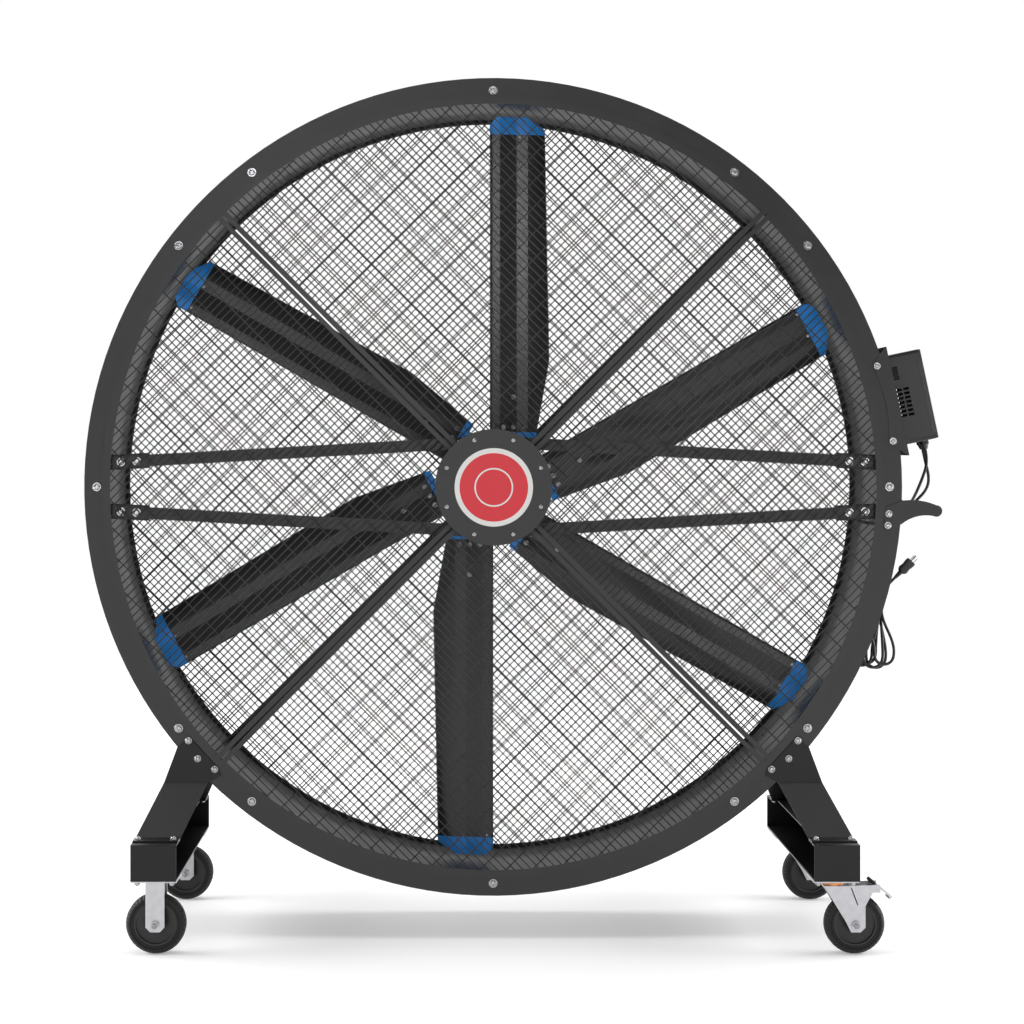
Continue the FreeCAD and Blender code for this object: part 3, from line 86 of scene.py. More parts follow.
ground_pin_offset = 0.006
ground_pin_extra = 0.004
ground_pin_radius = 0.0024
bolt_radius = 0.005
bolt_head_height = 0.0055
bolt_washer_thickness = 0.0025
bolt_nut_radius = 0.009
bolt_nut_height = 0.008
screw_head_height = 0.003
wheel_radius = 0.076
wheel_width = 0.045
tyre_bead_radius = 0.054
caster_plate_height = 0.192
caster_plate_thickness = 0.005
caster_centre_x = 0.8575
caster_centre_y = 0.320
swivel_trail = 0.053
brake_pivot_from_axle = 0.052
brake_pivot_above_axle = 0.092
brake_pedal_slope = math.radians(40)
axle_side_reach = 0.015
axle_end = wheel_width / 2 + axle_side_reach
plate_bolt_x = 0.044
plate_bolt_y = 0.038
housing_seat = 1.077
housing_length = 0.239
housing_width = 0.150
housing_height = 0.108
badge_span = 0.1
badge_ring_inner = 0.046
badge_ring_outer = 0.050
badge_field_radius = 0.088

# Camera: square to the ring, a little left of it and above its centre
camera_left = 0.1437
camera_distance = 5.675
camera_height = 1.287
camera_data = bpy.data.cameras.new("camera")
camera = bpy.data.objects.new("camera", camera_data)
scene.collection.objects.link(camera)
camera.location = (ring_x - camera_left, -camera_distance, camera_height)
camera.rotation_euler = (math.radians(90), 0, 0)
camera_data.lens = 74.25
camera_data.sensor_width = 36.0
camera_data.shift_x = 0.0723
camera_data.shift_y = -0.0654
scene.camera = camera


def from_ring(x, y, z):
    """A point of the scene, from its distances to the centre of the ring."""
    return Vector((ring_x + x, y, ring_z + z))


def polar(radius, angle):
    return radius * math.cos(angle), radius * math.sin(angle)


def add_mesh(name, mesh_builder, body, material):
    """A new mesh piece from a bmesh, riding on a body."""
    mesh = bpy.data.meshes.new(name)
    mesh_builder.to_mesh(mesh)
    mesh_builder.free()
    mesh.materials.append(material)
    mesh.shade_smooth()
    mesh.set_sharp_from_angle(angle=math.radians(38))
    piece = bpy.data.objects.new(name, mesh)
    scene.collection.objects.link(piece)
    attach(piece, body)
    return piece


# Cords

def gland_mouth(side):
    """Where a cable leaves its gland, from the centre of the ring."""
    x, z = gland_radial, -gland_end
    turned_x = x * math.cos(controller_tilt) - z * math.sin(controller_tilt)
    turned_z = x * math.sin(controller_tilt) + z * math.cos(controller_tilt)
    return Vector((turned_x, side * gland_side, turned_z))


def gland_down():
    return Vector((math.sin(controller_tilt), 0, -math.cos(controller_tilt)))


def plug_direction():
    return Vector((math.cos(plug_angle), 0, math.sin(plug_angle)))


def hank_start():
    return Vector((hook_reach - hank_top_radius, hank_y, hank_top_z))


def hank_end():
    loops = len(hank_extra_run)
    return hank_start() + Vector((2 * hank_top_radius, loops * hank_pitch, 0))


def plug_start():
    return hank_end() + Vector(plug_from_hank)


def arc_points(x, y, z, radius, first_angle):
    """Four control points whose spline follows a half circle, counter-clockwise."""
    step = math.radians(45)
    reach = radius / math.cos(step / 2)
    points = []
    for index in range(4):
        across, up = polar(reach, first_angle + step * (index + 0.5))
        points.append(Vector((x + across, y, z + up)))
    return points


def hank_points():
    """Control points of the hank's loops, hanging side by side along the hook."""
    points = []
    ease = 0.030
    left = hank_start()
    for loop, extra in enumerate(hank_extra_run):
        bottom = left.z - hank_run - extra
        low_left = left.x - hank_left_spread[loop] + hank_fan[loop]
        right = left.x + 2 * hank_top_radius
        low_right = right + hank_right_spread[loop] + hank_fan[loop]
        points.append(Vector((left.x, left.y, left.z - ease)))
        points.append(Vector((low_left, left.y, bottom + ease)))
        middle = (low_left + low_right) / 2
        points += arc_points(middle, left.y, bottom, (low_right - low_left) / 2, math.pi)
        points.append(Vector((low_right, left.y, bottom + ease)))
        left = left + Vector((0, hank_pitch, 0))
        points.append(Vector((right, left.y, left.z - ease)))
        if loop < len(hank_extra_run) - 1:
            points += arc_points(hook_reach, left.y, left.z, hank_top_radius, 0.0)
    return points


def mains_points():
    start = gland_mouth(1)
    hank = hank_start()
    tail = hank_end()
    end = plug_start()
    lead = [
        start,
        start + gland_down() * 0.032,
        Vector((1.180, 0.014, 0.020)),
        Vector((1.172, 0.012, -0.012)),
        Vector((1.144, 0.008, -0.040)),
        Vector((1.108, 0.004, -0.074)),
        Vector((1.072, 0.0, -0.122)),
        Vector((1.042, 0.0, -0.180)),
        Vector((1.014, hank.y, -0.232)),
        hank + Vector((0, 0, 0.040)),
    ]
    last = [
        tail + Vector((0, 0, 0.020)),
        tail + Vector((0.009, 0, 0.038)),
        end - plug_direction() * 0.022,
        end,
    ]
    return lead + hank_points() + last


def motor_cable_points():
    start = gland_mouth(-1)
    back_y = -0.147
    return [
        start,
        start + gland_down() * 0.034,
        Vector((1.146, -0.050, 0.018)),
        Vector((1.112, -0.085, -0.040)),
        Vector((1.072, -0.125, -0.078)),
        Vector((1.030, back_y, -0.096)),
        Vector((0.975, back_y, -0.096)),
        Vector((0.930, back_y, -0.080)),
        Vector((0.870, back_y, -0.073)),
    ]


def cord_curve(name, points, radius):
    curve = bpy.data.curves.new(name, "CURVE")
    curve.dimensions = "3D"
    curve.bevel_depth = 1.0
    curve.bevel_resolution = 4
    curve.use_fill_caps = True
    curve.resolution_u = 8
    spline = curve.splines.new("NURBS")
    spline.points.add(len(points) - 1)
    for place, point in zip(spline.points, points):
        place.co = (*from_ring(*point), 1.0)
        place.radius = radius
    spline.order_u = 3
    spline.use_endpoint_u = True
    piece = bpy.data.objects.new(name, curve)
    scene.collection.objects.link(piece)
    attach(piece, "frame")
    return piece


mains_cord = cord_curve("mains_cord", mains_points(), mains_radius)
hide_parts("mains_lead", "cord_hank", "mains_tail")
motor_lead = cord_curve("motor_lead", motor_cable_points(), motor_cable_radius)
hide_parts("motor_cable")


# Materials

def math_node(tree, operation, first, second):
    """The output of a math node, whose inputs are numbers or other nodes' outputs."""
    node = tree.nodes.new("ShaderNodeMath")
    node.operation = operation
    for socket, value in zip(node.inputs, (first, second)):
        if isinstance(value, float):
            socket.default_value = value
        else:
            tree.links.new(value, socket)
    return node.outputs["Value"]


def map_range(tree, value, start, end, smooth=False, first=0.0, last=1.0):
    """A value between first and last, carried over to the range from start to end."""
    node = tree.nodes.new("ShaderNodeMapRange")
    if smooth:
        node.interpolation_type = "SMOOTHSTEP"
    node.inputs["From Min"].default_value = first
    node.inputs["From Max"].default_value = last
    node.inputs["To Min"].default_value = start
    node.inputs["To Max"].default_value = end
    tree.links.new(value, node.inputs["Value"])
    return node.outputs["Result"]


def seen_from_axis(tree, place):
    """Places in the fan's own frame, measured from the middle of the ring."""
    centre = tree.nodes.new("ShaderNodeMapping")
    centre.inputs["Location"].default_value = (-ring_x, 0, -ring_z)
    tree.links.new(place.outputs["Object"], centre.inputs["Vector"])
    return centre.outputs["Vector"]


def surface(name, dark, light, roughness, metallic=0.0, scale=40.0, grain=600.0, bump=0.05,
            rough_spread=0.08, specular=0.5):
    """A surface whose colour and roughness wander a little, with a fine grain."""
    material = bpy.data.materials.new(name)
    material.use_nodes = True
    tree = material.node_tree
    shader = tree.nodes["Principled BSDF"]
    shader.inputs["Metallic"].default_value = metallic
    shader.inputs["Specular IOR Level"].default_value = specular
    place = tree.nodes.new("ShaderNodeTexCoord")
    wander = tree.nodes.new("ShaderNodeTexNoise")
    wander.inputs["Scale"].default_value = scale
    wander.inputs["Detail"].default_value = 4.0
    tree.links.new(place.outputs["Object"], wander.inputs["Vector"])
    ramp = tree.nodes.new("ShaderNodeValToRGB")
    ramp.color_ramp.elements[0].position = 0.3
    ramp.color_ramp.elements[0].color = (*dark, 1)
    ramp.color_ramp.elements[1].position = 0.7
    ramp.color_ramp.elements[1].color = (*light, 1)
    tree.links.new(wander.outputs["Fac"], ramp.inputs["Fac"])
    tree.links.new(ramp.outputs["Color"], shader.inputs["Base Color"])
    spread = map_range(tree, wander.outputs["Fac"], roughness - rough_spread, roughness + rough_spread)
    tree.links.new(spread, shader.inputs["Roughness"])
    fine = tree.nodes.new("ShaderNodeTexNoise")
    fine.inputs["Scale"].default_value = grain
    fine.inputs["Detail"].default_value = 2.0
    tree.links.new(place.outputs["Object"], fine.inputs["Vector"])
    relief = tree.nodes.new("ShaderNodeBump")
    relief.inputs["Strength"].default_value = bump
    relief.inputs["Distance"].default_value = 0.001
    tree.links.new(fine.outputs["Fac"], relief.inputs["Height"])
    tree.links.new(relief.outputs["Normal"], shader.inputs["Normal"])
    return material


def grey(value):
    return (value, value, value * 1.04)


drum_specular = 0.22
black_coat = surface("black_coat", grey(0.013), grey(0.019), 0.40, scale=9.0, grain=900.0, bump=0.10)
foot_coat = surface("foot_coat", grey(0.008), grey(0.012), 0.36, scale=9.0, bump=0.06, specular=0.28)
# The drum's black coat is painted lighter than the other black parts, as painted light on its inner wall;
# towards the rear of that wall it carries painted shade
drum_coat_painted_light_and_shade = surface("drum_coat_painted_light_and_shade", grey(0.030), grey(0.042), 0.42, scale=9.0, bump=0.06,
                    specular=drum_specular)
wire_coat = surface("wire_coat", grey(0.014), grey(0.020), 0.30, scale=30.0, grain=1200.0)
blade_coat = surface("blade_coat", grey(0.020), grey(0.026), 0.26, scale=8.0, grain=700.0, bump=0.02,
                     rough_spread=0.02)
cap_blue = surface("cap_blue", (0.014, 0.270, 0.830), (0.018, 0.320, 0.920), 0.40, scale=20.0, grain=800.0)
zinc = surface("zinc", grey(0.46), grey(0.54), 0.34, metallic=1.0, scale=60.0, grain=900.0, bump=0.03)
bright_zinc = surface("bright_zinc", grey(0.34), grey(0.42), 0.22, metallic=1.0, scale=200.0, grain=2000.0)
dull_zinc = surface("dull_zinc", grey(0.16), grey(0.22), 0.30, metallic=1.0, scale=60.0, grain=900.0)
steel = surface("steel", grey(0.30), grey(0.38), 0.32, metallic=1.0, scale=60.0, grain=900.0)
copper = surface("copper", (0.55, 0.22, 0.09), (0.68, 0.30, 0.13), 0.34, metallic=1.0, scale=60.0)
winding = surface("winding", (0.40, 0.17, 0.07), (0.52, 0.24, 0.10), 0.45, metallic=1.0, scale=80.0)
motor_paint = surface("motor_paint", grey(0.035), grey(0.048), 0.45, scale=15.0, grain=500.0, bump=0.15)
rim_plastic = surface("rim_plastic", grey(0.012), grey(0.018), 0.42, scale=30.0, grain=900.0)
tyre_rubber = surface("tyre_rubber", grey(0.006), grey(0.011), 0.54, scale=50.0, grain=1200.0, bump=0.2,
                      specular=0.35)
shell_coat = surface("shell_coat", grey(0.032), grey(0.042), 0.44, scale=25.0, grain=900.0, bump=0.15)
lid_coat = surface("lid_coat", grey(0.050), grey(0.062), 0.40, scale=25.0, grain=900.0, bump=0.10)
shell_end = surface("shell_end", grey(0.007), grey(0.011), 0.40, scale=25.0, grain=900.0, bump=0.10)
keypad_film = surface("keypad_film", grey(0.050), grey(0.065), 0.40, scale=40.0, grain=900.0)
knob_plastic = surface("knob_plastic", grey(0.014), grey(0.020), 0.40, scale=60.0, grain=1500.0)
button_plastic = surface("button_plastic", (0.03, 0.28, 0.07), (0.04, 0.34, 0.09), 0.35, scale=60.0)
gland_plastic = surface("gland_plastic", grey(0.012), grey(0.018), 0.45, scale=60.0, grain=1500.0)
cord_jacket = surface("cord_jacket", grey(0.010), grey(0.016), 0.42, scale=80.0, grain=2000.0)


def paint_shade_inside(material):
    """Painted shade: a darker, duller colour on the drum's inner wall, from its middle to its rear."""
    shade_colour_share = 0.25
    shade_specular = 0.04
    fade_start = -0.1 * drum_half_depth
    fade_end = 0.4 * drum_half_depth
    inward_limit = -0.5
    tree = material.node_tree
    shader = tree.nodes["Principled BSDF"]
    base_colour = shader.inputs["Base Color"].links[0].from_socket
    place = tree.nodes.new("ShaderNodeTexCoord")
    outward = tree.nodes.new("ShaderNodeVectorMath")
    outward.operation = "DOT_PRODUCT"
    tree.links.new(seen_from_axis(tree, place), outward.inputs[0])
    tree.links.new(place.outputs["Normal"], outward.inputs[1])
    inside = math_node(tree, "LESS_THAN", outward.outputs["Value"], inward_limit)
    axes = tree.nodes.new("ShaderNodeSeparateXYZ")
    tree.links.new(place.outputs["Object"], axes.inputs["Vector"])
    depth = map_range(tree, axes.outputs["Y"], 0.0, 1.0, True, fade_start, fade_end)
    share = math_node(tree, "MULTIPLY", inside, depth)
    painted_shade = tree.nodes.new("ShaderNodeVectorMath")
    painted_shade.operation = "SCALE"
    tree.links.new(base_colour, painted_shade.inputs[0])
    tree.links.new(map_range(tree, share, 1.0, shade_colour_share), painted_shade.inputs["Scale"])
    tree.links.new(painted_shade.outputs["Vector"], shader.inputs["Base Color"])
    tree.links.new(map_range(tree, share, drum_specular, shade_specular), shader.inputs["Specular IOR Level"])


# Painted shade: the drum's inner wall is darker and less glossy from its middle to its rear
paint_shade_inside(drum_coat_painted_light_and_shade)


def badge_material():
    """White rim, red field and a thin white ring, set by the distance from the fan's axis."""
    material = bpy.data.materials.new("badge_print")
    material.use_nodes = True
    tree = material.node_tree
    shader = tree.nodes["Principled BSDF"]
    shader.inputs["Coat Weight"].default_value = 0.3
    place = tree.nodes.new("ShaderNodeTexCoord")
    flat = tree.nodes.new("ShaderNodeVectorMath")
    flat.operation = "MULTIPLY"
    flat.inputs[1].default_value = (1, 0, 1)
    tree.links.new(seen_from_axis(tree, place), flat.inputs[0])
    length = tree.nodes.new("ShaderNodeVectorMath")
    length.operation = "LENGTH"
    tree.links.new(flat.outputs["Vector"], length.inputs[0])
    scaled = math_node(tree, "MULTIPLY", length.outputs["Value"], 1.0 / badge_span)
    ramp = tree.nodes.new("ShaderNodeValToRGB")
    ramp.color_ramp.interpolation = "CONSTANT"
    red = (0.78, 0.026, 0.042, 1)
    white = (0.90, 0.89, 0.86, 1)
    ramp.color_ramp.elements[0].position = 0.0
    ramp.color_ramp.elements[0].color = red
    ramp.color_ramp.elements[1].position = badge_field_radius / badge_span
    ramp.color_ramp.elements[1].color = white
    for radius, colour in ((badge_ring_inner, white), (badge_ring_outer, red)):
        element = ramp.color_ramp.elements.new(radius / badge_span)
        element.color = colour
    tree.links.new(scaled, ramp.inputs["Fac"])
    tree.links.new(ramp.outputs["Color"], shader.inputs["Base Color"])
    noise = tree.nodes.new("ShaderNodeTexNoise")
    noise.inputs["Scale"].default_value = 60.0
    tree.links.new(place.outputs["Object"], noise.inputs["Vector"])
    tree.links.new(map_range(tree, noise.outputs["Fac"], 0.30, 0.42), shader.inputs["Roughness"])
    return material


def paint(names, material):
    for name in names:
        mesh = nodes[name].data
        mesh.materials.clear()
        mesh.materials.append(material)


blades = ["blade_%d" % (index + 1) for index in range(blade_count)]
both_ends = ("front", "rear")
both_sides = ("left", "right")
wheels = [end + "_" + side for end in both_ends for side in both_sides]
paint(["drum"], drum_coat_painted_light_and_shade)
paint(["motor_bars", "motor_plate", "controller_bracket", "push_handle"], black_coat)
guard_pieces = ("_guard_ring", "_guard_spider", "_hub_cover")
paint([end + piece for end in both_ends for piece in guard_pieces], black_coat)
paint([side + piece for side in both_sides for piece in ("_foot_beam", "_risers")], foot_coat)
paint(["front_guard_panels", "rear_guard_panels"], wire_coat)
paint(["hub_badge"], badge_material())
paint(["guard_bolts", "frame_bolts", "swivel_caster_plates"], zinc)
paint(["blade_bolts"], dull_zinc)
paint([end + piece for end in both_ends for piece in ("_rigid_fork", "_swivel_fork", "_brake_pedal")], zinc)
paint(["motor_bearings", "rotor_shaft", "rotor_hub"], steel)
paint(["caster_bearing_rings"], copper)
paint(["motor_stator"], winding)
paint(["motor_housing"], motor_paint)
paint(blades, blade_coat)
paint(["blade_caps"], cap_blue)
paint([wheel + "_wheel" for wheel in wheels], rim_plastic)
paint([wheel + "_tyre" for wheel in wheels], tyre_rubber)
paint(["controller_housing"], shell_coat)
paint(["keypad_panel"], keypad_film)
paint(["speed_knob"], knob_plastic)
paint(["start_button"], button_plastic)
paint(["cable_glands"], gland_plastic)
paint(["mains_lead", "cord_hank", "mains_tail", "motor_cable", "plug"], cord_jacket)
mains_cord.data.materials.append(cord_jacket)
motor_lead.data.materials.append(cord_jacket)


# Wire guards

def add_wire(builder, start, end, sides=8):
    """A straight wire of round section between two points."""
    along = end - start
    turn = along.to_track_quat("Z", "Y").to_matrix().to_4x4()
    place = Matrix.Translation((start + end) / 2) @ turn
    bmesh.ops.create_cone(builder, cap_ends=True, segments=sides, radius1=wire_radius,
                          radius2=wire_radius, depth=along.length, matrix=place)


def quarter_wires(builder, turn, front):
    """One quarter of a guard: close wires along one arm, sparse wires along the other."""
    layers = ((dense_pitch, drum_half_depth + 3 * wire_radius, True),
              (sparse_pitch, drum_half_depth + wire_radius, False))
    for pitch, depth, along_second in layers:
        offset = wire_edge
        while offset < wire_outer_radius:
            far = math.sqrt(wire_outer_radius ** 2 - offset ** 2)
            near = wire_edge - wire_radius
            if offset < wire_inner_radius:
                near = max(near, math.sqrt(wire_inner_radius ** 2 - offset ** 2))
            ends = []
            for reach in (near, far):
                x, z = (offset, reach) if along_second else (reach, offset)
                across = x * math.cos(turn) - z * math.sin(turn)
                up = x * math.sin(turn) + z * math.cos(turn)
                if front:
                    ends.append(from_ring(across, -depth, up))
                else:
                    ends.append(from_ring(-across, depth, up))
            if far - near > dense_pitch:
                add_wire(builder, ends[0], ends[1])
            offset += pitch


def wire_guard(name, node, front):
    builder = bmesh.new()
    for quarter in range(4):
        quarter_wires(builder, math.radians(45 + 90 * quarter), front)
    piece = add_mesh(name, builder, "frame", wire_coat)
    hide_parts(node)


wire_guard("front_wires", "front_guard_panels", True)
wire_guard("rear_wires", "rear_guard_panels", False)


# Bolts, screws and nuts

def ring_points(radius, height, sides, segments):
    """Points round an axis: a circle, or a polygon of that many sides."""
    points = []
    for index in range(segments):
        angle = 2 * math.pi * index / segments
        reach = radius
        if sides:
            sector = 2 * math.pi / sides
            reach = radius * math.cos(sector / 2) / math.cos(angle % sector - sector / 2)
        points.append(Vector((*polar(reach, angle), height)))
    return points


def lathe(builder, place, rings, segments=24):
    """A closed turned piece from rings of radius, height and number of sides, 0 for round."""
    loops = []
    for radius, height, sides in rings:
        points = ring_points(radius, height, sides, segments)
        loops.append([builder.verts.new(place @ point) for point in points])
    for low, high in zip(loops, loops[1:]):
        for index in range(segments):
            after = (index + 1) % segments
            builder.faces.new((low[index], low[after], high[after], high[index]))
    builder.faces.new(list(reversed(loops[0])))
    builder.faces.new(loops[-1])


def socket_head(radius, low, high):
    """Rings of a domed head with a hexagon socket."""
    tall = high - low
    return [
        (radius, low, 0),
        (radius, low + 0.3 * tall, 0),
        (0.93 * radius, low + 0.62 * tall, 0),
        (0.76 * radius, low + 0.88 * tall, 0),
        (0.58 * radius, high, 0),
        (0.50 * radius, high, 6),
        (0.47 * radius, high - 0.1 * tall, 6),
        (0.47 * radius, low + 0.3 * tall, 6),
    ]


def bolt_rings(head_radius, flange_radius, low):
    """A nut at the low end, the shank, a washer on its seat at height 0 and a domed head."""
    edge = 0.0005
    nut_low = low + 3 * edge
    nut_high = low + bolt_nut_height
    washer = bolt_washer_thickness
    nut = [
        (bolt_radius - edge, low, 0),
        (bolt_radius, low + edge, 0),
        (bolt_radius, nut_low, 0),
        (bolt_nut_radius * math.cos(math.radians(30)), nut_low, 0),
        (bolt_nut_radius, nut_low + 2 * edge, 6),
        (bolt_nut_radius, nut_high, 6),
        (bolt_radius, nut_high, 0),
        (bolt_radius, 0, 0),
    ]
    flange = [
        (flange_radius - edge, 0, 0),
        (flange_radius, edge, 0),
        (flange_radius, washer - edge, 0),
        (flange_radius - edge, washer, 0),
    ]
    return nut + flange + socket_head(head_radius, washer, washer + bolt_head_height)


def screw_rings(head_radius, shank_radius, low):
    return [(shank_radius, low, 0), (shank_radius, 0, 0)] + socket_head(head_radius, 0, screw_head_height)


def islands(node):
    """The separate bodies of a node's mesh, as lists of points."""
    builder = bmesh.new()
    builder.from_mesh(nodes[node].data)
    bmesh.ops.remove_doubles(builder, verts=builder.verts, dist=1e-6)
    seen = set()
    groups = []
    for first in builder.verts:
        if first in seen:
            continue
        seen.add(first)
        queue = [first]
        group = []
        while queue:
            vert = queue.pop()
            group.append(vert.co.copy())
            for edge in vert.link_edges:
                other = edge.other_vert(vert)
                if other not in seen:
                    seen.add(other)
                    queue.append(other)
        groups.append(group)
    builder.free()
    return groups


def add_fastener(builder, points):
    """A detailed bolt or screw where a plain one of the solids stands."""
    flat_tolerance = 1e-5
    radius_tolerance = 2e-4
    low = Vector([min(point[axis] for point in points) for axis in range(3)])
    high = Vector([max(point[axis] for point in points) for axis in range(3)])
    size = high - low
    middle = (low + high) / 2
    spread = [abs(size[axis - 2] - size[axis - 1]) for axis in range(3)]
    axis = spread.index(min(spread))
    radii = []
    for end in (low, high):
        near = [point - middle for point in points if abs(point[axis] - end[axis]) < flat_tolerance]
        for point in near:
            point[axis] = 0
        radii.append(max(point.length for point in near))
    flange_radius = size[axis - 1] / 2
    is_bolt = max(radii) > bolt_nut_radius - radius_tolerance
    head_at_high = (radii[1] < radii[0]) == is_bolt
    head_radius = radii[1] if head_at_high else radii[0]
    direction = Vector((0, 0, 0))
    direction[axis] = 1.0 if head_at_high else -1.0
    head_height = bolt_washer_thickness + bolt_head_height if is_bolt else screw_head_height
    seat = middle + direction * (size[axis] / 2 - head_height)
    turn = direction.to_track_quat("Z", "Y").to_matrix().to_4x4()
    place = Matrix.Translation(seat) @ turn
    if is_bolt:
        lathe(builder, place, bolt_rings(head_radius, flange_radius, head_height - size[axis]))
    else:
        lathe(builder, place, screw_rings(head_radius, min(radii), head_height - size[axis]))


def fasteners(name, node):
    """Detailed fasteners in place of all the plain ones of a node."""
    builder = bmesh.new()
    for points in islands(node):
        add_fastener(builder, points)
    piece = add_mesh(name, builder, "frame", bright_zinc)
    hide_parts(node)


fasteners("guard_fasteners", "guard_bolts")
fasteners("frame_fasteners", "frame_bolts")


def caster_plate_bolts():
    """Four nuts below each caster's plate, with the ends of their bolts."""
    builder = bmesh.new()
    edge = 0.0008
    nut_radius = 0.0078
    nut_height = 0.0065
    thread_radius = 0.0042
    rings = [
        (nut_radius, 0, 6),
        (nut_radius, nut_height - edge, 6),
        (0.88 * nut_radius, nut_height, 0),
        (thread_radius, nut_height, 0),
        (thread_radius, nut_height + 3 * edge, 0),
        (thread_radius - edge, nut_height + 4 * edge, 0),
    ]
    down = Matrix.Rotation(math.pi, 4, "X")
    for side_x in (-1, 1):
        for side_y in (-1, 1):
            for x in (-plate_bolt_x, plate_bolt_x):
                for y in (-plate_bolt_y, plate_bolt_y):
                    seat = Vector((ring_x + side_x * caster_centre_x + x, side_y * caster_centre_y + y,
                                   caster_plate_height - caster_plate_thickness))
                    lathe(builder, Matrix.Translation(seat) @ down, rings)
    add_mesh("caster_plate_nuts", builder, "frame", bright_zinc)


caster_plate_bolts()


def node_centre(node):
    low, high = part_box(node)
    return (Vector(low) + Vector(high)) / 2


def axle_nuts(name, node, body):
    """A hexagon nut, a bolt end and a chamfer on both ends of a caster's axle."""
    builder = bmesh.new()
    centre = node_centre(node)
    nut_radius = 0.0088
    nut_height = 0.0030
    thread_radius = 0.0050
    edge = 0.0008
    rings = [
        (nut_radius, -edge, 6),
        (nut_radius, nut_height - edge, 6),
        (0.90 * nut_radius, nut_height, 0),
        (thread_radius + edge, nut_height, 0),
        (thread_radius, nut_height - edge, 0),
        (thread_radius, nut_height + edge, 0),
        (thread_radius - edge, nut_height + 2 * edge, 0),
        (0.5 * thread_radius, nut_height + 2 * edge, 0),
        (0.4 * thread_radius, nut_height + edge, 0),
    ]
    for side in (-1, 1):
        seat = centre + Vector((0, side * axle_end, 0))
        turn = Matrix.Rotation(-side * math.pi / 2, 4, "X")
        lathe(builder, Matrix.Translation(seat) @ turn, rings)
    add_mesh(name, builder, body, steel)


for end in both_ends:
    axle_nuts(end + "_left_axle_nuts", end + "_left_tyre", "frame")
    axle_nuts(end + "_right_axle_nuts", end + "_right_tyre", end + "_swivel")


def section_point(chord, normal, height):
    """A point of a blade that points up: chord from its straight edge, normal towards the front."""
    x = -blade_edge_offset + chord * math.cos(blade_pitch) + normal * math.sin(blade_pitch)
    y = (chord - blade_chord_tip / 2) * math.sin(blade_pitch) - normal * math.cos(blade_pitch)
    return Vector((x, y, height))


def cap_screws():
    """Two screws beside each blade's tip cap."""
    builder = bmesh.new()
    height = 0.936
    head = 0.0022
    radius = 0.0045
    # Chord and normal of each screw's seat on the blade's section
    seats = ((0.015, 0.0090), (0.081, 0.01005))
    rings = [(radius, -head, 0)] + socket_head(radius, 0, head)
    facing = Vector((math.sin(blade_pitch), -math.cos(blade_pitch), 0)).to_track_quat("Z", "Y")
    for index in range(blade_count):
        turn = Matrix.Rotation(-2 * math.pi * index / blade_count, 4, "Y")
        for chord, normal in seats:
            local = Matrix.Translation(section_point(chord, normal, height)) @ facing.to_matrix().to_4x4()
            lathe(builder, Matrix.Translation(from_ring(0, 0, 0)) @ turn @ local, rings)
    add_mesh("cap_screws", builder, "rotor", zinc)


cap_screws()


# Tyres with ribbed sides and a notched shoulder

def tyre_half_profile():
    """Radius, distance from the tyre's middle and depth of the notches, from the crown to the bead."""
    half = wheel_width / 2
    groove = 0.0014
    return [
        (wheel_radius - groove, 0.0008, 0),
        (wheel_radius - groove, 0.0022, 0),
        (wheel_radius, 0.0030, 0),
        (wheel_radius, 0.0085, 0),
        (wheel_radius - 0.0004, 0.0105, 0.0008),
        (wheel_radius - 0.0016, 0.0145, 0.0024),
        (wheel_radius - 0.0042, 0.0182, 0.0026),
        (wheel_radius - 0.0068, half - 0.0016, 0.0010),
        (wheel_radius - 0.0085, half - 0.0004, 0),
        (wheel_radius - 0.0130, half, 0),
        (wheel_radius - 0.0140, half - groove, 0),
        (wheel_radius - 0.0155, half - groove, 0),
        (wheel_radius - 0.0165, half - 0.0002, 0),
        (tyre_bead_radius + 0.0026, half - 0.0002, 0),
        (tyre_bead_radius, half - 0.0020, 0),
    ]


def tread(name, node, body):
    """A tyre with grooves and notches in place of a plain one."""
    builder = bmesh.new()
    centre = node_centre(node)
    near = tyre_half_profile()
    profile = near + [(radius, -y, notch) for radius, y, notch in reversed(near)]
    segments = 160
    notch_spacing = 4
    loops = []
    for index in range(segments):
        angle = 2 * math.pi * index / segments
        loop = []
        for radius, y, notch in profile:
            reach = radius - notch if index % notch_spacing == 0 else radius
            across, up = polar(reach, angle)
            loop.append(builder.verts.new(centre + Vector((across, y, up))))
        loops.append(loop)
    count = len(profile)
    for index in range(segments):
        here = loops[index]
        after = loops[(index + 1) % segments]
        for step in range(count):
            other = (step + 1) % count
            builder.faces.new((here[step], after[step], after[other], here[other]))
    bmesh.ops.recalc_face_normals(builder, faces=builder.faces)
    piece = add_mesh(name, builder, body, tyre_rubber)
    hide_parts(node)


for wheel in wheels:
    tread(wheel + "_tread", wheel + "_tyre", wheel + "_roller")


# Plug

def rounded_section(centre, half_y, half_z, power, segments=24):
    """Points round an oval across X, with squarer corners for a higher power."""
    points = []
    for index in range(segments):
        across, up = polar(1.0, 2 * math.pi * index / segments)
        y = half_y * math.copysign(abs(across) ** (2 / power), across)
        z = half_z * math.copysign(abs(up) ** (2 / power), up)
        points.append(centre + Vector((0, y, z)))
    return points


def loft(builder, place, sections):
    """A closed skin through sections along X."""
    loops = [[builder.verts.new(place @ point) for point in section] for section in sections]
    count = len(loops[0])
    for low, high in zip(loops, loops[1:]):
        for index in range(count):
            after = (index + 1) % count
            builder.faces.new((low[index], low[after], high[after], high[index]))
    builder.faces.new(list(reversed(loops[0])))
    builder.faces.new(loops[-1])


def plug_place():
    return Matrix.Translation(from_ring(*plug_start())) @ Matrix.Rotation(-plug_angle, 4, "Y")


